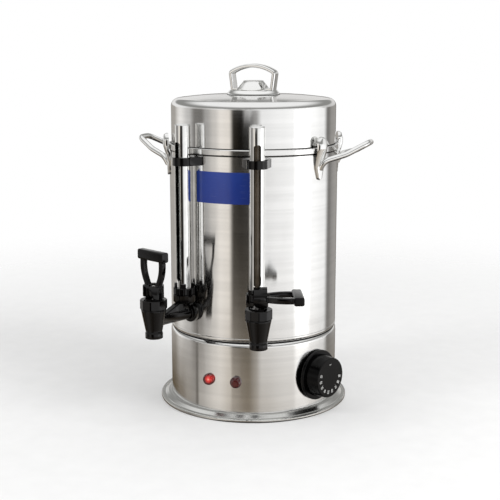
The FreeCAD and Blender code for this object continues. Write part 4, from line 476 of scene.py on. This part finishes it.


# the lit lens's rings are painted light: a pale pink painted highlight in their middle, which lies beside
# and over the dome's own, darkening to painted shade at the edge; the lit lens also glows weakly in these
# colours, and the dark lens only grows darker towards its edge
lensValues = {
    "litLens": {
        "azimuth": -9.5, "height": 0.0445, "shift": 0.0023, "lift": 0.0013, "reach": 0.0085, "glow": 0.5,
        "rings": [  # share of the reach, and colour
            (0.0, (0.95, 0.42, 0.32)), (0.22, (0.7, 0.035, 0.025)), (0.42, (0.4, 0.008, 0.006)),
            (0.58, (0.07, 0.001, 0.001)), (0.8, (0.02, 0, 0))]},
    "darkLens": {
        "azimuth": 9.5, "height": 0.0445, "shift": 0.0, "lift": 0.0, "reach": 0.0068, "glow": 0.0,
        "rings": [(0.0, (0.07, 0.014, 0.013)), (0.5, (0.045, 0.008, 0.008)), (1.0, (0.012, 0.003, 0.003))]},
}

lensPattern = {
    "facet": 900.0,
    "facetEdges": (0.2, 0.7),
    "facetColour": (0.1, 0.002, 0.002),
    "facetCover": 0.5,
    "cloud": 150.0,
    "ringWaver": 0.2,
    "rough": 0.08,
    "cloudRough": 0.06,
    "bump": 0.35,
    "depth": 0.0002,
}


def lensFinish(name, v, pattern=lensPattern):
    # fine diamond facets inside a clear dome
    finish = Finish(name)
    place = finish.place()
    x, y, z = finish.parts(place)
    angle = math.radians(v["azimuth"])
    across = x * math.cos(angle) + y * math.sin(angle) - v["shift"]
    rise = z - v["height"] - v["lift"]
    radius = finish.root(across * across + rise * rise)
    facets = finish.node("TexVoronoi", {"feature": "F1"}, {"Vector": place, "Scale": pattern["facet"]})
    cloud = finish.noise(place, pattern["cloud"])
    share = radius / v["reach"] + (cloud - 0.5) * pattern["ringWaver"]
    # rings: on the lit lens a painted highlight in the middle and painted shade towards the edge
    rings = finish.node("ValToRGB", {"stops": v["rings"]}, {0: share})
    cover = finish.limit(facets, *pattern["facetEdges"]) * pattern["facetCover"]
    return finish.surface(
        Base_Color=finish.mix(cover, rings, rgb(*pattern["facetColour"])),
        Roughness=pattern["rough"] + cloud * pattern["cloudRough"], Coat_Weight=0.6, Coat_Roughness=0.03,
        Emission_Color=rings, Emission_Strength=v["glow"],
        Normal=finish.bump(facets, pattern["bump"], pattern["depth"]))


labelValues = {
    "colour": (0.005, 0.028, 0.25),
    "pale": (0.012, 0.06, 0.38),
    "paleTop": 0.35,  # how much of the pale blue comes in towards the top, and with the clouds
    "paleCloud": 0.4,
    "bottom": 0.2507,
    "height": 0.0355,
    "cloud": 70.0,
    "cloudRough": 0.12,
    "grain": (400, 400),
    "scratch": (60, 2200),
    "scratchEdges": (0.66, 0.74),
    "scratchCover": 0.35,
    "scratchColour": (0.25, 0.28, 0.5),
    "rough": 0.3,
    "depth": 0.00004,
}


def labelFinish(name, v):
    finish = Finish(name)
    place = finish.place()
    x, y, z = finish.parts(place)
    share = (z - v["bottom"]) / v["height"]
    clouds = finish.noise(place, v["cloud"])
    grain = finish.drawnOut(x, y, z, v["grain"], 2.0)
    scratches = finish.drawnOut(x, y, z, v["scratch"])
    worn = finish.limit(scratches, *v["scratchEdges"]) * v["scratchCover"]
    blue = finish.mix(share * v["paleTop"] + clouds * v["paleCloud"], rgb(*v["colour"]), rgb(*v["pale"]))
    return finish.surface(
        Base_Color=finish.mix(worn, blue, rgb(*v["scratchColour"])), Metallic=0.15,
        Roughness=v["rough"] + clouds * v["cloudRough"], Coat_Weight=0.5, Coat_Roughness=0.12,
        Normal=finish.bump(grain, 0.15, v["depth"]))


finishes = {}
for makeFinish, kindValues in (
        (steelFinish, steelValues), (plasticFinish, plasticValues),
        (heaterFinish, {"heaterSheath": heaterValues}), (glassFinish, glassValues),
        (lensFinish, lensValues), (labelFinish, {"labelFoil": labelValues})):
    for finishName, finishValues in kindValues.items():
        finishes[finishName] = makeFinish(finishName, finishValues)

# the nodes that stay as they are; the rest are replaced by the pieces below
nodeFinishes = {
    "satinSteel": ["tank_shell", "tank_rim", "base_shell", "bottom_cover", "brew_pot"],
    "ringSteel": ["base_ring"],
    "plainSteel": [
        "tank_floor", "heater_nuts", "thermostat_body", "thermostat_bulb", "thermostat_shaft",
        "tea_strainer", "tea_outlet_socket", "right_tap_spring", "left_tap_stem", "right_tap_stem"],
    "heaterSheath": ["heating_element"],
    "tapPlastic": [side + "_" + piece for side in ("left", "right") for piece in (
        "tap_bonnet", "tap_nut", "tap_pin", "gauge_socket", "tap_washer")],
    "knobPlastic": ["thermostat_knob", "lamp_holders", "cable_gland"],
    "sealRubber": [
        "heater_seals", "left_tap_seals", "right_tap_seals", "left_tap_seat", "right_tap_seat",
        "left_gauge_seals", "right_gauge_seals"],
    "terminalCeramic": ["terminal_block"],
    "clearGlass": ["left_gauge_glass"],
    "stainedGlass": ["right_gauge_glass"],
    "litLens": ["lamp_lens_red"],
    "darkLens": ["lamp_lens_dark"],
    "labelFoil": ["label_plate"],
}

for finishName, nodes in nodeFinishes.items():
    for node in nodes:
        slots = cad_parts[node].data.materials
        slots.clear()
        slots.append(finishes[finishName])
print("scene: finishes on %d nodes" % sum(len(nodes) for nodes in nodeFinishes.values()))


# Tools for the pieces made here

meshValues = {
    "sharp": 35.0,  # degrees; an edge less sharp than that is shaded smooth
    "merge": 0.00001,  # points of a node's own mesh that are this near are one
}


def addPiece(name, shape, finish, body, *replaced):
    bmesh.ops.recalc_face_normals(shape, faces=shape.faces[:])
    mesh = bpy.data.meshes.new(name)
    shape.to_mesh(mesh)
    shape.free()
    mesh.shade_smooth()
    mesh.set_sharp_from_angle(angle=math.radians(meshValues["sharp"]))
    mesh.materials.clear()  # also puts each face back on the first slot
    mesh.materials.append(finishes[finish])
    piece = addObject(name, mesh)
    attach(piece, body)
    if replaced:
        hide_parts(*replaced)
    return piece


def nodeShape(node, move=None):
    # a node's own form, merged, with each point moved a little
    shape = bmesh.new()
    shape.from_mesh(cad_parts[node].data)
    bmesh.ops.remove_doubles(shape, verts=shape.verts[:], dist=meshValues["merge"])
    if move:
        for vert in shape.verts:
            vert.co = move(vert.co)
    return shape


def settledMesh(holder):
    # an object with its modifiers or letters as a plain mesh; the object itself goes
    bpy.context.view_layer.update()
    mesh = bpy.data.meshes.new_from_object(holder.evaluated_get(bpy.context.evaluated_depsgraph_get()))
    bpy.data.objects.remove(holder)
    return mesh


def roundedRing(width, height, corner, steps=4):
    # the points round a rectangle with rounded corners
    ring = []
    for number, (right, up) in enumerate(((1, 1), (-1, 1), (-1, -1), (1, -1))):
        for step in range(steps + 1):
            angle = math.radians(90 * (number + step / steps))
            ring.append((
                right * (width / 2 - corner) + math.cos(angle) * corner,
                up * (height / 2 - corner) + math.sin(angle) * corner))
    return ring


def roundRing(radius, sides):
    angles = [2 * math.pi * number / sides for number in range(sides)]
    return [(math.cos(angle) * radius, math.sin(angle) * radius) for angle in angles]


def roundPath(points, radii, steps=12):
    # straight runs with an arc at each inner point
    path = [points[0]]
    for before, corner, after, radius in zip(points, points[1:], points[2:], radii):
        back = (before - corner).normalized()
        ahead = (after - corner).normalized()
        half = back.angle(ahead) / 2
        middle = corner + (back + ahead).normalized() * (radius / math.sin(half))
        first = (corner + back * (radius / math.tan(half)) - middle).normalized()
        last = (corner + ahead * (radius / math.tan(half)) - middle).normalized()
        for step in range(steps + 1):
            path.append(middle + first.slerp(last, step / steps) * radius)
    return path + [points[-1]]


def skin(shape, rows, closed=False):
    # quads between rows of vertices, each row a loop; the ends are capped, or joined to each other
    following = rows[1:] + (rows[:1] if closed else [])
    for row, nextRow in zip(rows, following):
        for number, here in enumerate(row):
            beside = (number + 1) % len(row)
            shape.faces.new((here, row[beside], nextRow[beside], nextRow[number]))
    if not closed:
        shape.faces.new(rows[0])
        shape.faces.new(list(reversed(rows[-1])))


def sweep(shape, path, ring, level):
    # carries a ring of points along the path; level is the direction that the ring's first axis keeps
    rows = []
    for number, point in enumerate(path):
        along = (path[min(number + 1, len(path) - 1)] - path[max(number - 1, 0)]).normalized()
        across = (level - along * level.dot(along)).normalized()
        out = along.cross(across)
        rows.append([shape.verts.new(point + across * a + out * b) for a, b in ring])
    skin(shape, rows)


def turn(shape, profile, segments=144):
    # turns a closed profile of radius and height round the urn's axis
    rows = []
    for number in range(segments):
        azimuth = 360 * number / segments
        rows.append([shape.verts.new(towards(azimuth, radius, height)) for radius, height in profile])
    skin(shape, rows, closed=True)


def blendBetween(stops, place):
    for (low, first), (high, last) in zip(stops, stops[1:]):
        if place <= high:
            share = max(0.0, (place - low) / (high - low))
            return first + (last - first) * share
    return stops[-1][1]


# Seams: thin black rings in the joint over the base and under the lid's handle plate, dark pieces put there
# for the shadow in these joints: painted shade

seamShadowValues = {
    "baseSeamShadow": {"body": "urn", "inner": 0.0962, "outer": 0.0987, "height": 0.0021, "middle": 0.09015},
    "lidPlateSeamShadow": {"body": "lid", "inner": 0.0298, "outer": 0.0315, "height": 0.0009},
    "corner": 0.0003,
    "cornerSteps": 3,
}


def makeSeam(name, middle, v):
    seam = v[name]
    shape = bmesh.new()
    ring = roundedRing(seam["outer"] - seam["inner"], seam["height"], v["corner"], v["cornerSteps"])
    turn(shape, [((seam["inner"] + seam["outer"]) / 2 + a, middle + b) for a, b in ring])
    # black in the rubber finish, to stand for the dark line of shadow in the joint: painted shade
    addPiece(name, shape, "sealRubber", seam["body"])


# Lid: its edge, the handle plate and the strap

lidValues = {
    "drop": 0.0018,  # how much lower the lid's top stands than its solid's
    "dropFrom": 0.33,
    "coneGrow": 0.0017,  # wider hill in the middle of the handle plate, between the next two radii
    "coneInner": 0.001,
    "coneOuter": 0.0205,
    "plateWall": 0.002,
    "strapFoot": 0.0266,  # outside of the strap at its feet
    "strapKnee": 0.0294,
    "kneeHeight": 0.393,
    "kneeRound": 0.003,
    "strapTop": 0.4032,
    "strapWall": 0.0044,
    "strapDepth": 0.014,
    "strapRound": 0.0017,
    "arcSteps": 24,
    "tabEnd": 0.0136,
    "tabWall": 0.0024,
    "tabRound": 0.00072,
}


def makeStrap(v, flat):
    # up from each tab, out to the knee and over in one arc
    shape = bmesh.new()
    half = v["strapWall"] / 2
    knee = v["strapKnee"] - half
    crown = v["strapTop"] - half
    rise = crown - v["kneeHeight"]
    arch = (knee * knee + rise * rise) / (rise * 2)
    reach = math.asin(knee / arch)
    arc = []
    for step in range(1, v["arcSteps"]):
        angle = reach * (1 - 2 * step / v["arcSteps"])
        arc.append(Vector((math.sin(angle) * arch, 0, crown - arch + math.cos(angle) * arch)))
    foot = v["strapFoot"] - half
    corners = [Vector((foot, 0, flat)), Vector((knee, 0, v["kneeHeight"])), arc[0]]
    right = roundPath(corners, [v["kneeRound"]])
    left = [Vector((-point.x, 0, point.z)) for point in reversed(right)]
    ring = roundedRing(v["strapDepth"], v["strapWall"], v["strapRound"])
    level = Vector((0, 1, 0))
    sweep(shape, right[:-1] + arc + left[1:], ring, level)
    for side in (-1, 1):
        height = flat + v["tabWall"] / 2
        tab = [Vector((side * v["tabEnd"], 0, height)), Vector((side * foot, 0, height))]
        sweep(shape, tab, roundedRing(v["strapDepth"], v["tabWall"], v["tabRound"]), level)
    addPiece("lidHandleStrap", shape, "brightSteel", "lid", "lid_handle_strap")


def makeLid(v):
    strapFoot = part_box("lid_handle_strap")[0][2]

    def shellMove(point):
        return point - Vector((0, 0, v["drop"] if point.z > v["dropFrom"] else 0))

    def plateMove(point):
        radius = math.hypot(point.x, point.y)
        grow = 1
        if v["coneInner"] < radius < v["coneOuter"] and point.z > strapFoot - v["plateWall"]:
            grow += v["coneGrow"] / radius
        return Vector((point.x * grow, point.y * grow, point.z - v["drop"]))

    addPiece("lidShell", nodeShape("lid_shell", shellMove), "lidSteel", "lid", "lid_shell")
    plate = nodeShape("lid_handle_plate", plateMove)
    addPiece("lidHandlePlate", plate, "brightSteel", "lid", "lid_handle_plate")
    makeSeam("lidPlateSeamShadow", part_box("lid_handle_plate")[0][2] - v["drop"], seamShadowValues)
    makeStrap(v, strapFoot - v["drop"])


# Side handles: two feet that follow the tank and a round bar between them

sideHandleValues = {
    "azimuths": {"Right": 94.0, "Left": 274.0},
    "footTurn": 25.0,
    "footBottom": 0.2742,
    "footTop": 0.3232,
    "footHalf": 0.008,
    "toe": 0.0044,
    "widest": 0.2953,  # height where the foot reaches its full width
    "tankRadius": 0.1,
    "front": [  # height and thickness of the foot
        (0.27, 0.0025), (0.2905, 0.0032), (0.3008, 0.0054), (0.3095, 0.008), (0.3143, 0.0083),
        (0.3218, 0.0064), (0.3236, 0.003)],
    "edgeDrop": 0.55,  # how far the foot's face falls back at its edges, as a share of its thickness
    "edgePower": 5,
    "step": 0.302,  # above it the foot's back clears the rim
    "rimGap": 0.0016,
    "levels": 44,
    "columns": 10,
    "tip": 0.0006,  # share of the foot's height that its first and last rows keep from its ends
    "barRadius": 0.0033,
    "barSides": 20,
    "barRoot": 0.2865,
    "rootOut": 0.0016,
    "kneeOut": 0.0048,
    "kneeAcross": 0.0008,
    "kneeUp": 0.0095,
    "reach": 0.14,
    "barHalf": 0.013,
    "barHeight": 0.3145,
    "sag": 0.00275,
    "bends": [0.011, 0.05, 0.0125],  # rounding at the knee, the sag and the corner
    "barLevel": Vector((0.1, 0.05, 1)),
}


def footHalf(v, height):
    # a pointed toe, straight sides and a round top
    toeTop = v["footBottom"] + v["toe"]
    if height < toeTop:
        return math.sqrt(max(v["toe"] ** 2 - (toeTop - height) ** 2, 0.0))
    if height < v["widest"]:
        share = (height - toeTop) / (v["widest"] - toeTop)
        return v["toe"] + (v["footHalf"] - v["toe"]) * math.sin(share * math.pi / 2)
    over = max(height - (v["footTop"] - v["footHalf"]), 0.0)
    return math.sqrt(max(v["footHalf"] ** 2 - over ** 2, 0.0))


def makeFoot(shape, v, azimuth):
    rows = []
    for level in range(v["levels"] + 1):
        share = (1 - math.cos(math.pi * level / v["levels"])) / 2
        share = min(max(share, v["tip"]), 1 - v["tip"])
        height = v["footBottom"] + (v["footTop"] - v["footBottom"]) * share
        half = footHalf(v, height)
        back = v["tankRadius"] + (v["rimGap"] if height > v["step"] else 0.0)
        front = v["tankRadius"] + blendBetween(v["front"], height)
        face = []
        rear = []
        for column in range(v["columns"] + 1):
            across = -1 + 2 * column / v["columns"]
            turned = azimuth + math.degrees(half * across / front)
            drop = (front - back) * v["edgeDrop"] * abs(across) ** v["edgePower"]
            face.append(towards(turned, front - drop, height))
            rear.append(towards(turned, back, height))
        rows.append([shape.verts.new(point) for point in face + rear[::-1]])
    skin(shape, rows)


def makeSideHandle(side, v):
    azimuth = v["azimuths"][side]
    out = towards(azimuth)
    along = towards(azimuth + 90)
    shape = bmesh.new()
    for foot in (-1, 1):
        makeFoot(shape, v, azimuth + foot * v["footTurn"])

    def spot(reach, across, height):
        return out * reach + along * across + Vector((0, 0, height))

    angle = math.radians(v["footTurn"])
    reach = (v["tankRadius"] + v["rootOut"]) * math.cos(angle)
    across = (v["tankRadius"] + v["rootOut"]) * math.sin(angle)
    root = spot(reach, across, v["barRoot"])
    knee = spot(reach + v["kneeOut"], across + v["kneeAcross"], v["barRoot"] + v["kneeUp"])
    corner = spot(v["reach"], v["barHalf"], v["barHeight"])
    middle = (knee + corner) / 2 - Vector((0, 0, v["sag"]))
    points = [root, knee, middle, corner]
    points += [point - along * (point.dot(along) * 2) for point in reversed(points)]
    bar = roundPath(points, v["bends"] + v["bends"][::-1])
    sweep(shape, bar, roundRing(v["barRadius"], v["barSides"]), v["barLevel"].normalized())
    addPiece("sideHandle" + side, shape, "brightSteel", "urn", "side_handle_" + side.lower())


# Gauges: the split tube and the clip that holds it to the tank

tapAzimuths = {"left": -23.0, "right": 23.0}  # of the taps and the gauges over them

gaugeValues = {
    "axis": 0.114,
    "shieldGrow": 8.9 / 7.8,  # its radius here over the solid's
    "shieldBottom": 0.149,
    "shieldTop": 0.3362,
    "shieldRise": 0.0025,
    "clipBottom": 0.2914,
    "clipRise": 0.0012,
    "clipHeight": 0.94,  # these three are shares of the solid's
    "clipWide": 1.19,
    "clipDeep": 1.14,
}


def makeGauge(side, v):
    out = towards(tapAzimuths[side])
    along = towards(tapAzimuths[side] + 90)
    axis = out * v["axis"]

    def shieldMove(point):
        share = (point.z - v["shieldBottom"]) / (v["shieldTop"] - v["shieldBottom"])
        moved = axis + (point - axis) * v["shieldGrow"]
        return Vector((moved.x, moved.y, point.z + v["shieldRise"] * share))

    def clipMove(point):
        level = v["clipBottom"] + v["clipRise"] + (point.z - v["clipBottom"]) * v["clipHeight"]
        reach = point.dot(out) - v["axis"]
        reach = reach * (v["clipDeep"] if reach > 0 else 1)
        moved = axis + out * reach + along * (point.dot(along) * v["clipWide"])
        return Vector((moved.x, moved.y, level))

    node = side + "_gauge_shield"
    addPiece(side + "GaugeShield", nodeShape(node, shieldMove), "brightSteel", "urn", node)
    node = side + "_gauge_clip"
    addPiece(side + "GaugeClip", nodeShape(node, clipMove), "tapPlastic", "urn", node)


# Taps: a fuller cup, the web under the gauge, stouter handle forks, and the closed tap's spring as a piece
# of its own

tapValues = {
    "axis": 0.1605,
    "cupReach": 0.0165,  # what lies this near the cup's axis grows
    "cupGrow": 1.07,
    "webWall": 0.008,
    "webRound": 0.0012,
    "web": [  # distance from the urn's axis and height
        (0.1045, 0.1215), (0.1028, 0.1364), (0.1252, 0.1364), (0.1469, 0.1271), (0.1469, 0.1215)],
    "springLift": 0.005,  # how far the stem rises
}

forkValues = {
    "pivots": {"left": 0.1538, "right": 0.1588},  # heights of the pins
    "hub": 0.009,  # top of the hub over the pin
    "barFoot": 0.034,  # underside of the crossbar over the pin, in the solid and here
    "newBarFoot": 0.0368,
    "barHeight": 0.0125,
    "newBarHeight": 0.0112,
    "barLong": 21 / 19,
    "barDeep": 9.5 / 11,
    "inner": (0.0071, 0.0124),  # inside of a tine at the hub and at the crossbar
    "newInner": (0.0056, 0.0124),
    "tine": 0.0042,
    "newTine": 0.006,
    "near": 0.0001,
}


def forkMove(v, along, rising, thick):
    # along runs along the crossbar, rising from the pin to the crossbar, thick through the fork
    if rising < v["hub"] + v["near"]:
        return along, rising, thick
    if rising < v["barFoot"] + v["near"]:
        share = min((rising - v["hub"]) / (v["barFoot"] - v["hub"]), 1.0)
        inner = v["inner"][0] + (v["inner"][1] - v["inner"][0]) * share
        newInner = v["newInner"][0] + (v["newInner"][1] - v["newInner"][0]) * share
        size = abs(along)
        if size < inner:
            size = size * newInner / inner
        else:
            size = newInner + (size - inner) * v["newTine"] / v["tine"]
        up = v["hub"] + (rising - v["hub"]) * (v["newBarFoot"] - v["hub"]) / (v["barFoot"] - v["hub"])
        return math.copysign(size, along), up, thick
    up = v["newBarFoot"] + (rising - v["barFoot"]) * v["newBarHeight"] / v["barHeight"]
    return along * v["barLong"], up, thick * v["barDeep"]


def makeTap(side, v, fork):
    out = towards(tapAzimuths[side])
    across = towards(tapAzimuths[side] + 90)
    up = Vector((0, 0, 1))
    cup = out * v["axis"]

    def bodyMove(point):
        offset = Vector((point.x, point.y, 0)) - cup
        return point + offset * (v["cupGrow"] - 1) if offset.length <= v["cupReach"] else point

    node = side + "_tap_body"
    addPiece(side + "TapBody", nodeShape(node, bodyMove), "tapPlastic", "urn", node)

    shape = bmesh.new()
    sides = []
    for half in (-0.5, 0.5):
        wall = across * (v["webWall"] * half)
        sides.append([shape.verts.new(out * reach + wall + up * height) for reach, height in v["web"]])
    skin(shape, sides)
    bmesh.ops.bevel(shape, geom=shape.edges[:], offset=v["webRound"], segments=3, affect="EDGES")
    addPiece(side + "TapWeb", shape, "tapPlastic", "urn")

    # the right tap stands open: its handle lies along the tank, turned a quarter
    bar, rise, deep = (across, up, out) if side == "left" else (out, across, up)
    pivot = cup + up * fork["pivots"][side]

    def handleMove(point):
        offset = point - pivot
        along, rising, thick = forkMove(fork, offset.dot(bar), offset.dot(rise), offset.dot(deep))
        return pivot + bar * along + rise * rising + deep * thick

    node = side + "_tap_handle"
    addPiece(side + "TapHandle", nodeShape(node, handleMove), "tapPlastic", side + "_handle", node)


def makeSpring():
    # the closed tap's spring, as a piece with a mesh of its own on the left turret
    spring = nodeShape("left_tap_spring")
    piece = addPiece("leftTapSpring", spring, "plainSteel", "left_turret", "left_tap_spring")
    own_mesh(piece)


# Knob: painted numbers on its face, and the mark over them

knobValues = {
    "azimuth": 68.5,
    "face": 0.1215,  # the face's distance from the urn's axis
    "height": 0.0445,
    "numbers": [10, 20, 30, 40, 50, 60, 70, 80, 90],
    "radius": 0.017,
    "first": -72.0,  # clockwise from straight up
    "step": -24.0,
    "size": 0.0044,
    "raise": 0.00006,
    "mark": "I",
    "markRadius": 0.0157,
}


def textMesh(words, v):
    curve = bpy.data.curves.new("numberText", "FONT")
    curve.body = words
    curve.size = v["size"]
    curve.extrude = v["raise"]
    curve.resolution_u = 3
    curve.align_x = "CENTER"
    curve.align_y = "CENTER"
    return settledMesh(addObject("numberText", curve))


def makeKnobNumbers(v):
    out = towards(v["azimuth"])
    right = towards(v["azimuth"] + 90)
    centre = towards(v["azimuth"], v["face"], v["height"])
    shape = bmesh.new()
    marks = [(str(number), v["first"] + v["step"] * place, v["radius"])
             for place, number in enumerate(v["numbers"])]
    marks.append((v["mark"], 0.0, v["markRadius"]))
    for words, degrees, radius in marks:
        angle = math.radians(degrees)
        reading = right * math.sin(angle) + Vector((0, 0, math.cos(angle)))
        turned = Matrix((reading, out.cross(reading), out)).transposed().to_4x4()
        flat = textMesh(words, v)
        flat.transform(Matrix.Translation(centre + reading * radius) @ turned)
        shape.from_mesh(flat)
    addPiece("knobNumbers", shape, "numberPaint", "knob")


# Cross-head screws, by Geometry Nodes

screwValues = {
    "coverScrews": {
        "spots": [towards(azimuth, 0.088, 0.0058) for azimuth in (180, 60, -60)],
        "body": "urn", "node": "cover_screws",
        "Head Radius": 0.004, "Head Height": 0.0024, "Shank Radius": 0.002, "Shank Length": 0.0055},
    "lidScrews": {
        "spots": [Vector((side * 0.0169, 0, 0.3657)) for side in (-1, 1)],
        "body": "lid", "node": "lid_screws",
        "Head Radius": 0.0036, "Head Height": 0.002, "Shank Radius": 0.0018, "Shank Length": 0.008},
}

screwShape = {
    "headSides": 40,
    "headRings": 5,
    "shankSides": 20,
    "dome": 0.45,  # share of its height that the head's edge falls
    "shankDrop": 0.49,
    "recessLong": 1.15,  # shares of the head's radius
    "recessSlim": 0.24,
    "recessRise": 0.45,
    "turn": 0.4,
}


def screwTree(v):
    # a screw with its head down on each point of the mesh
    sizes = ("Head Radius", "Head Height", "Shank Radius", "Shank Length")
    tree = bpy.data.node_groups.new("crossScrews", "GeometryNodeTree")
    tree.interface.new_socket("Geometry", in_out="INPUT", socket_type="NodeSocketGeometry")
    for size in sizes:
        tree.interface.new_socket(size, in_out="INPUT", socket_type="NodeSocketFloat")
    tree.interface.new_socket("Material", in_out="INPUT", socket_type="NodeSocketMaterial")
    tree.interface.new_socket("Geometry", in_out="OUTPUT", socket_type="NodeSocketGeometry")

    def node(kind, inputs=None, settings=None):
        made = tree.nodes.new(kind)
        for name, value in (settings or {}).items():
            setattr(made, name, value)
        for place, value in (inputs or {}).items():
            for one in value if isinstance(value, list) else [value]:
                if isinstance(one, bpy.types.NodeSocket):
                    tree.links.new(one, made.inputs[place])
                else:
                    made.inputs[place].default_value = one
        return made.outputs[0] if made.outputs else None

    def maths(operation, first, second):
        return node("ShaderNodeMath", {0: first, 1: second}, {"operation": operation})

    def vector(x, y, z):
        return node("ShaderNodeCombineXYZ", {0: x, 1: y, 2: z})

    def moved(shape, place):
        return node("GeometryNodeTransform", {"Geometry": shape, "Translation": place})

    given = tree.nodes.new("NodeGroupInput").outputs
    radius, height, shankRadius, length = (given[size] for size in sizes)
    head = node("GeometryNodeMeshCylinder", {
        "Vertices": v["headSides"], "Fill Segments": v["headRings"], "Radius": radius, "Depth": height,
    }, {"fill_type": "TRIANGLE_FAN"})
    place = tree.nodes.new("ShaderNodeSeparateXYZ")
    tree.links.new(node("GeometryNodeInputPosition"), place.inputs[0])
    x, y, z = place.outputs
    square = maths("ADD", maths("MULTIPLY", x, x), maths("MULTIPLY", y, y))
    fall = maths("DIVIDE", square, maths("MULTIPLY", radius, radius))
    fallOnTop = maths("MULTIPLY", fall, maths("GREATER_THAN", z, 0.0))
    sink = maths("MULTIPLY", fallOnTop, maths("MULTIPLY", height, -v["dome"]))
    domed = node("GeometryNodeSetPosition", {"Geometry": head, "Offset": vector(0.0, 0.0, sink)})
    shank = node("GeometryNodeMeshCylinder", {
        "Vertices": v["shankSides"], "Radius": shankRadius, "Depth": length})
    down = maths("MULTIPLY", maths("ADD", height, length), -v["shankDrop"])
    lowered = moved(shank, vector(0.0, 0.0, down))
    whole = node("GeometryNodeMeshBoolean", {1: [domed, lowered]}, {"operation": "UNION"})
    long = maths("MULTIPLY", radius, v["recessLong"])
    slim = maths("MULTIPLY", radius, v["recessSlim"])
    up = vector(0.0, 0.0, maths("MULTIPLY", height, v["recessRise"]))
    blades = [moved(node("GeometryNodeMeshCube", {"Size": size}), up)
              for size in (vector(long, slim, height), vector(slim, long, height))]
    recess = node("GeometryNodeMeshBoolean", {1: blades}, {"operation": "UNION"})
    cut = node("GeometryNodeMeshBoolean", {0: whole, 1: recess}, {"operation": "DIFFERENCE"})
    points = node("GeometryNodeMeshToPoints", {"Mesh": given["Geometry"]})
    each = node("GeometryNodeInstanceOnPoints", {
        "Points": points, "Instance": cut, "Rotation": (math.pi, 0, v["turn"])})
    real = node("GeometryNodeRealizeInstances", {"Geometry": each})
    painted = node("GeometryNodeSetMaterial", {"Geometry": real, "Material": given["Material"]})
    node("NodeGroupOutput", {0: painted})
    return tree


def makeScrews(tree, name, v):
    spots = bpy.data.meshes.new(name)
    spots.from_pydata([tuple(spot) for spot in v["spots"]], [], [])
    holder = addObject(name + "Spots", spots)
    modifier = holder.modifiers.new("screws", "NODES")
    modifier.node_group = tree
    for item in tree.interface.items_tree:
        if item.in_out == "INPUT" and item.name in v:
            modifier[item.identifier] = v[item.name]
        elif item.name == "Material":
            modifier[item.identifier] = finishes["plainSteel"]
    shape = bmesh.new()
    shape.from_mesh(settledMesh(holder))
    addPiece(name, shape, "plainSteel", v["body"], v["node"])


makeSeam("baseSeamShadow", seamShadowValues["baseSeamShadow"]["middle"], seamShadowValues)
makeLid(lidValues)
print("scene: seams and lid")
for handleSide in sideHandleValues["azimuths"]:
    makeSideHandle(handleSide, sideHandleValues)
for tapSide in tapAzimuths:
    makeGauge(tapSide, gaugeValues)
    makeTap(tapSide, tapValues, forkValues)
makeSpring()
makeKnobNumbers(knobValues)
print("scene: side handles, gauges, taps and knob numbers")
screws = screwTree(screwShape)
for screwName, screwKind in screwValues.items():
    makeScrews(screws, screwName, screwKind)
print("scene: screws")
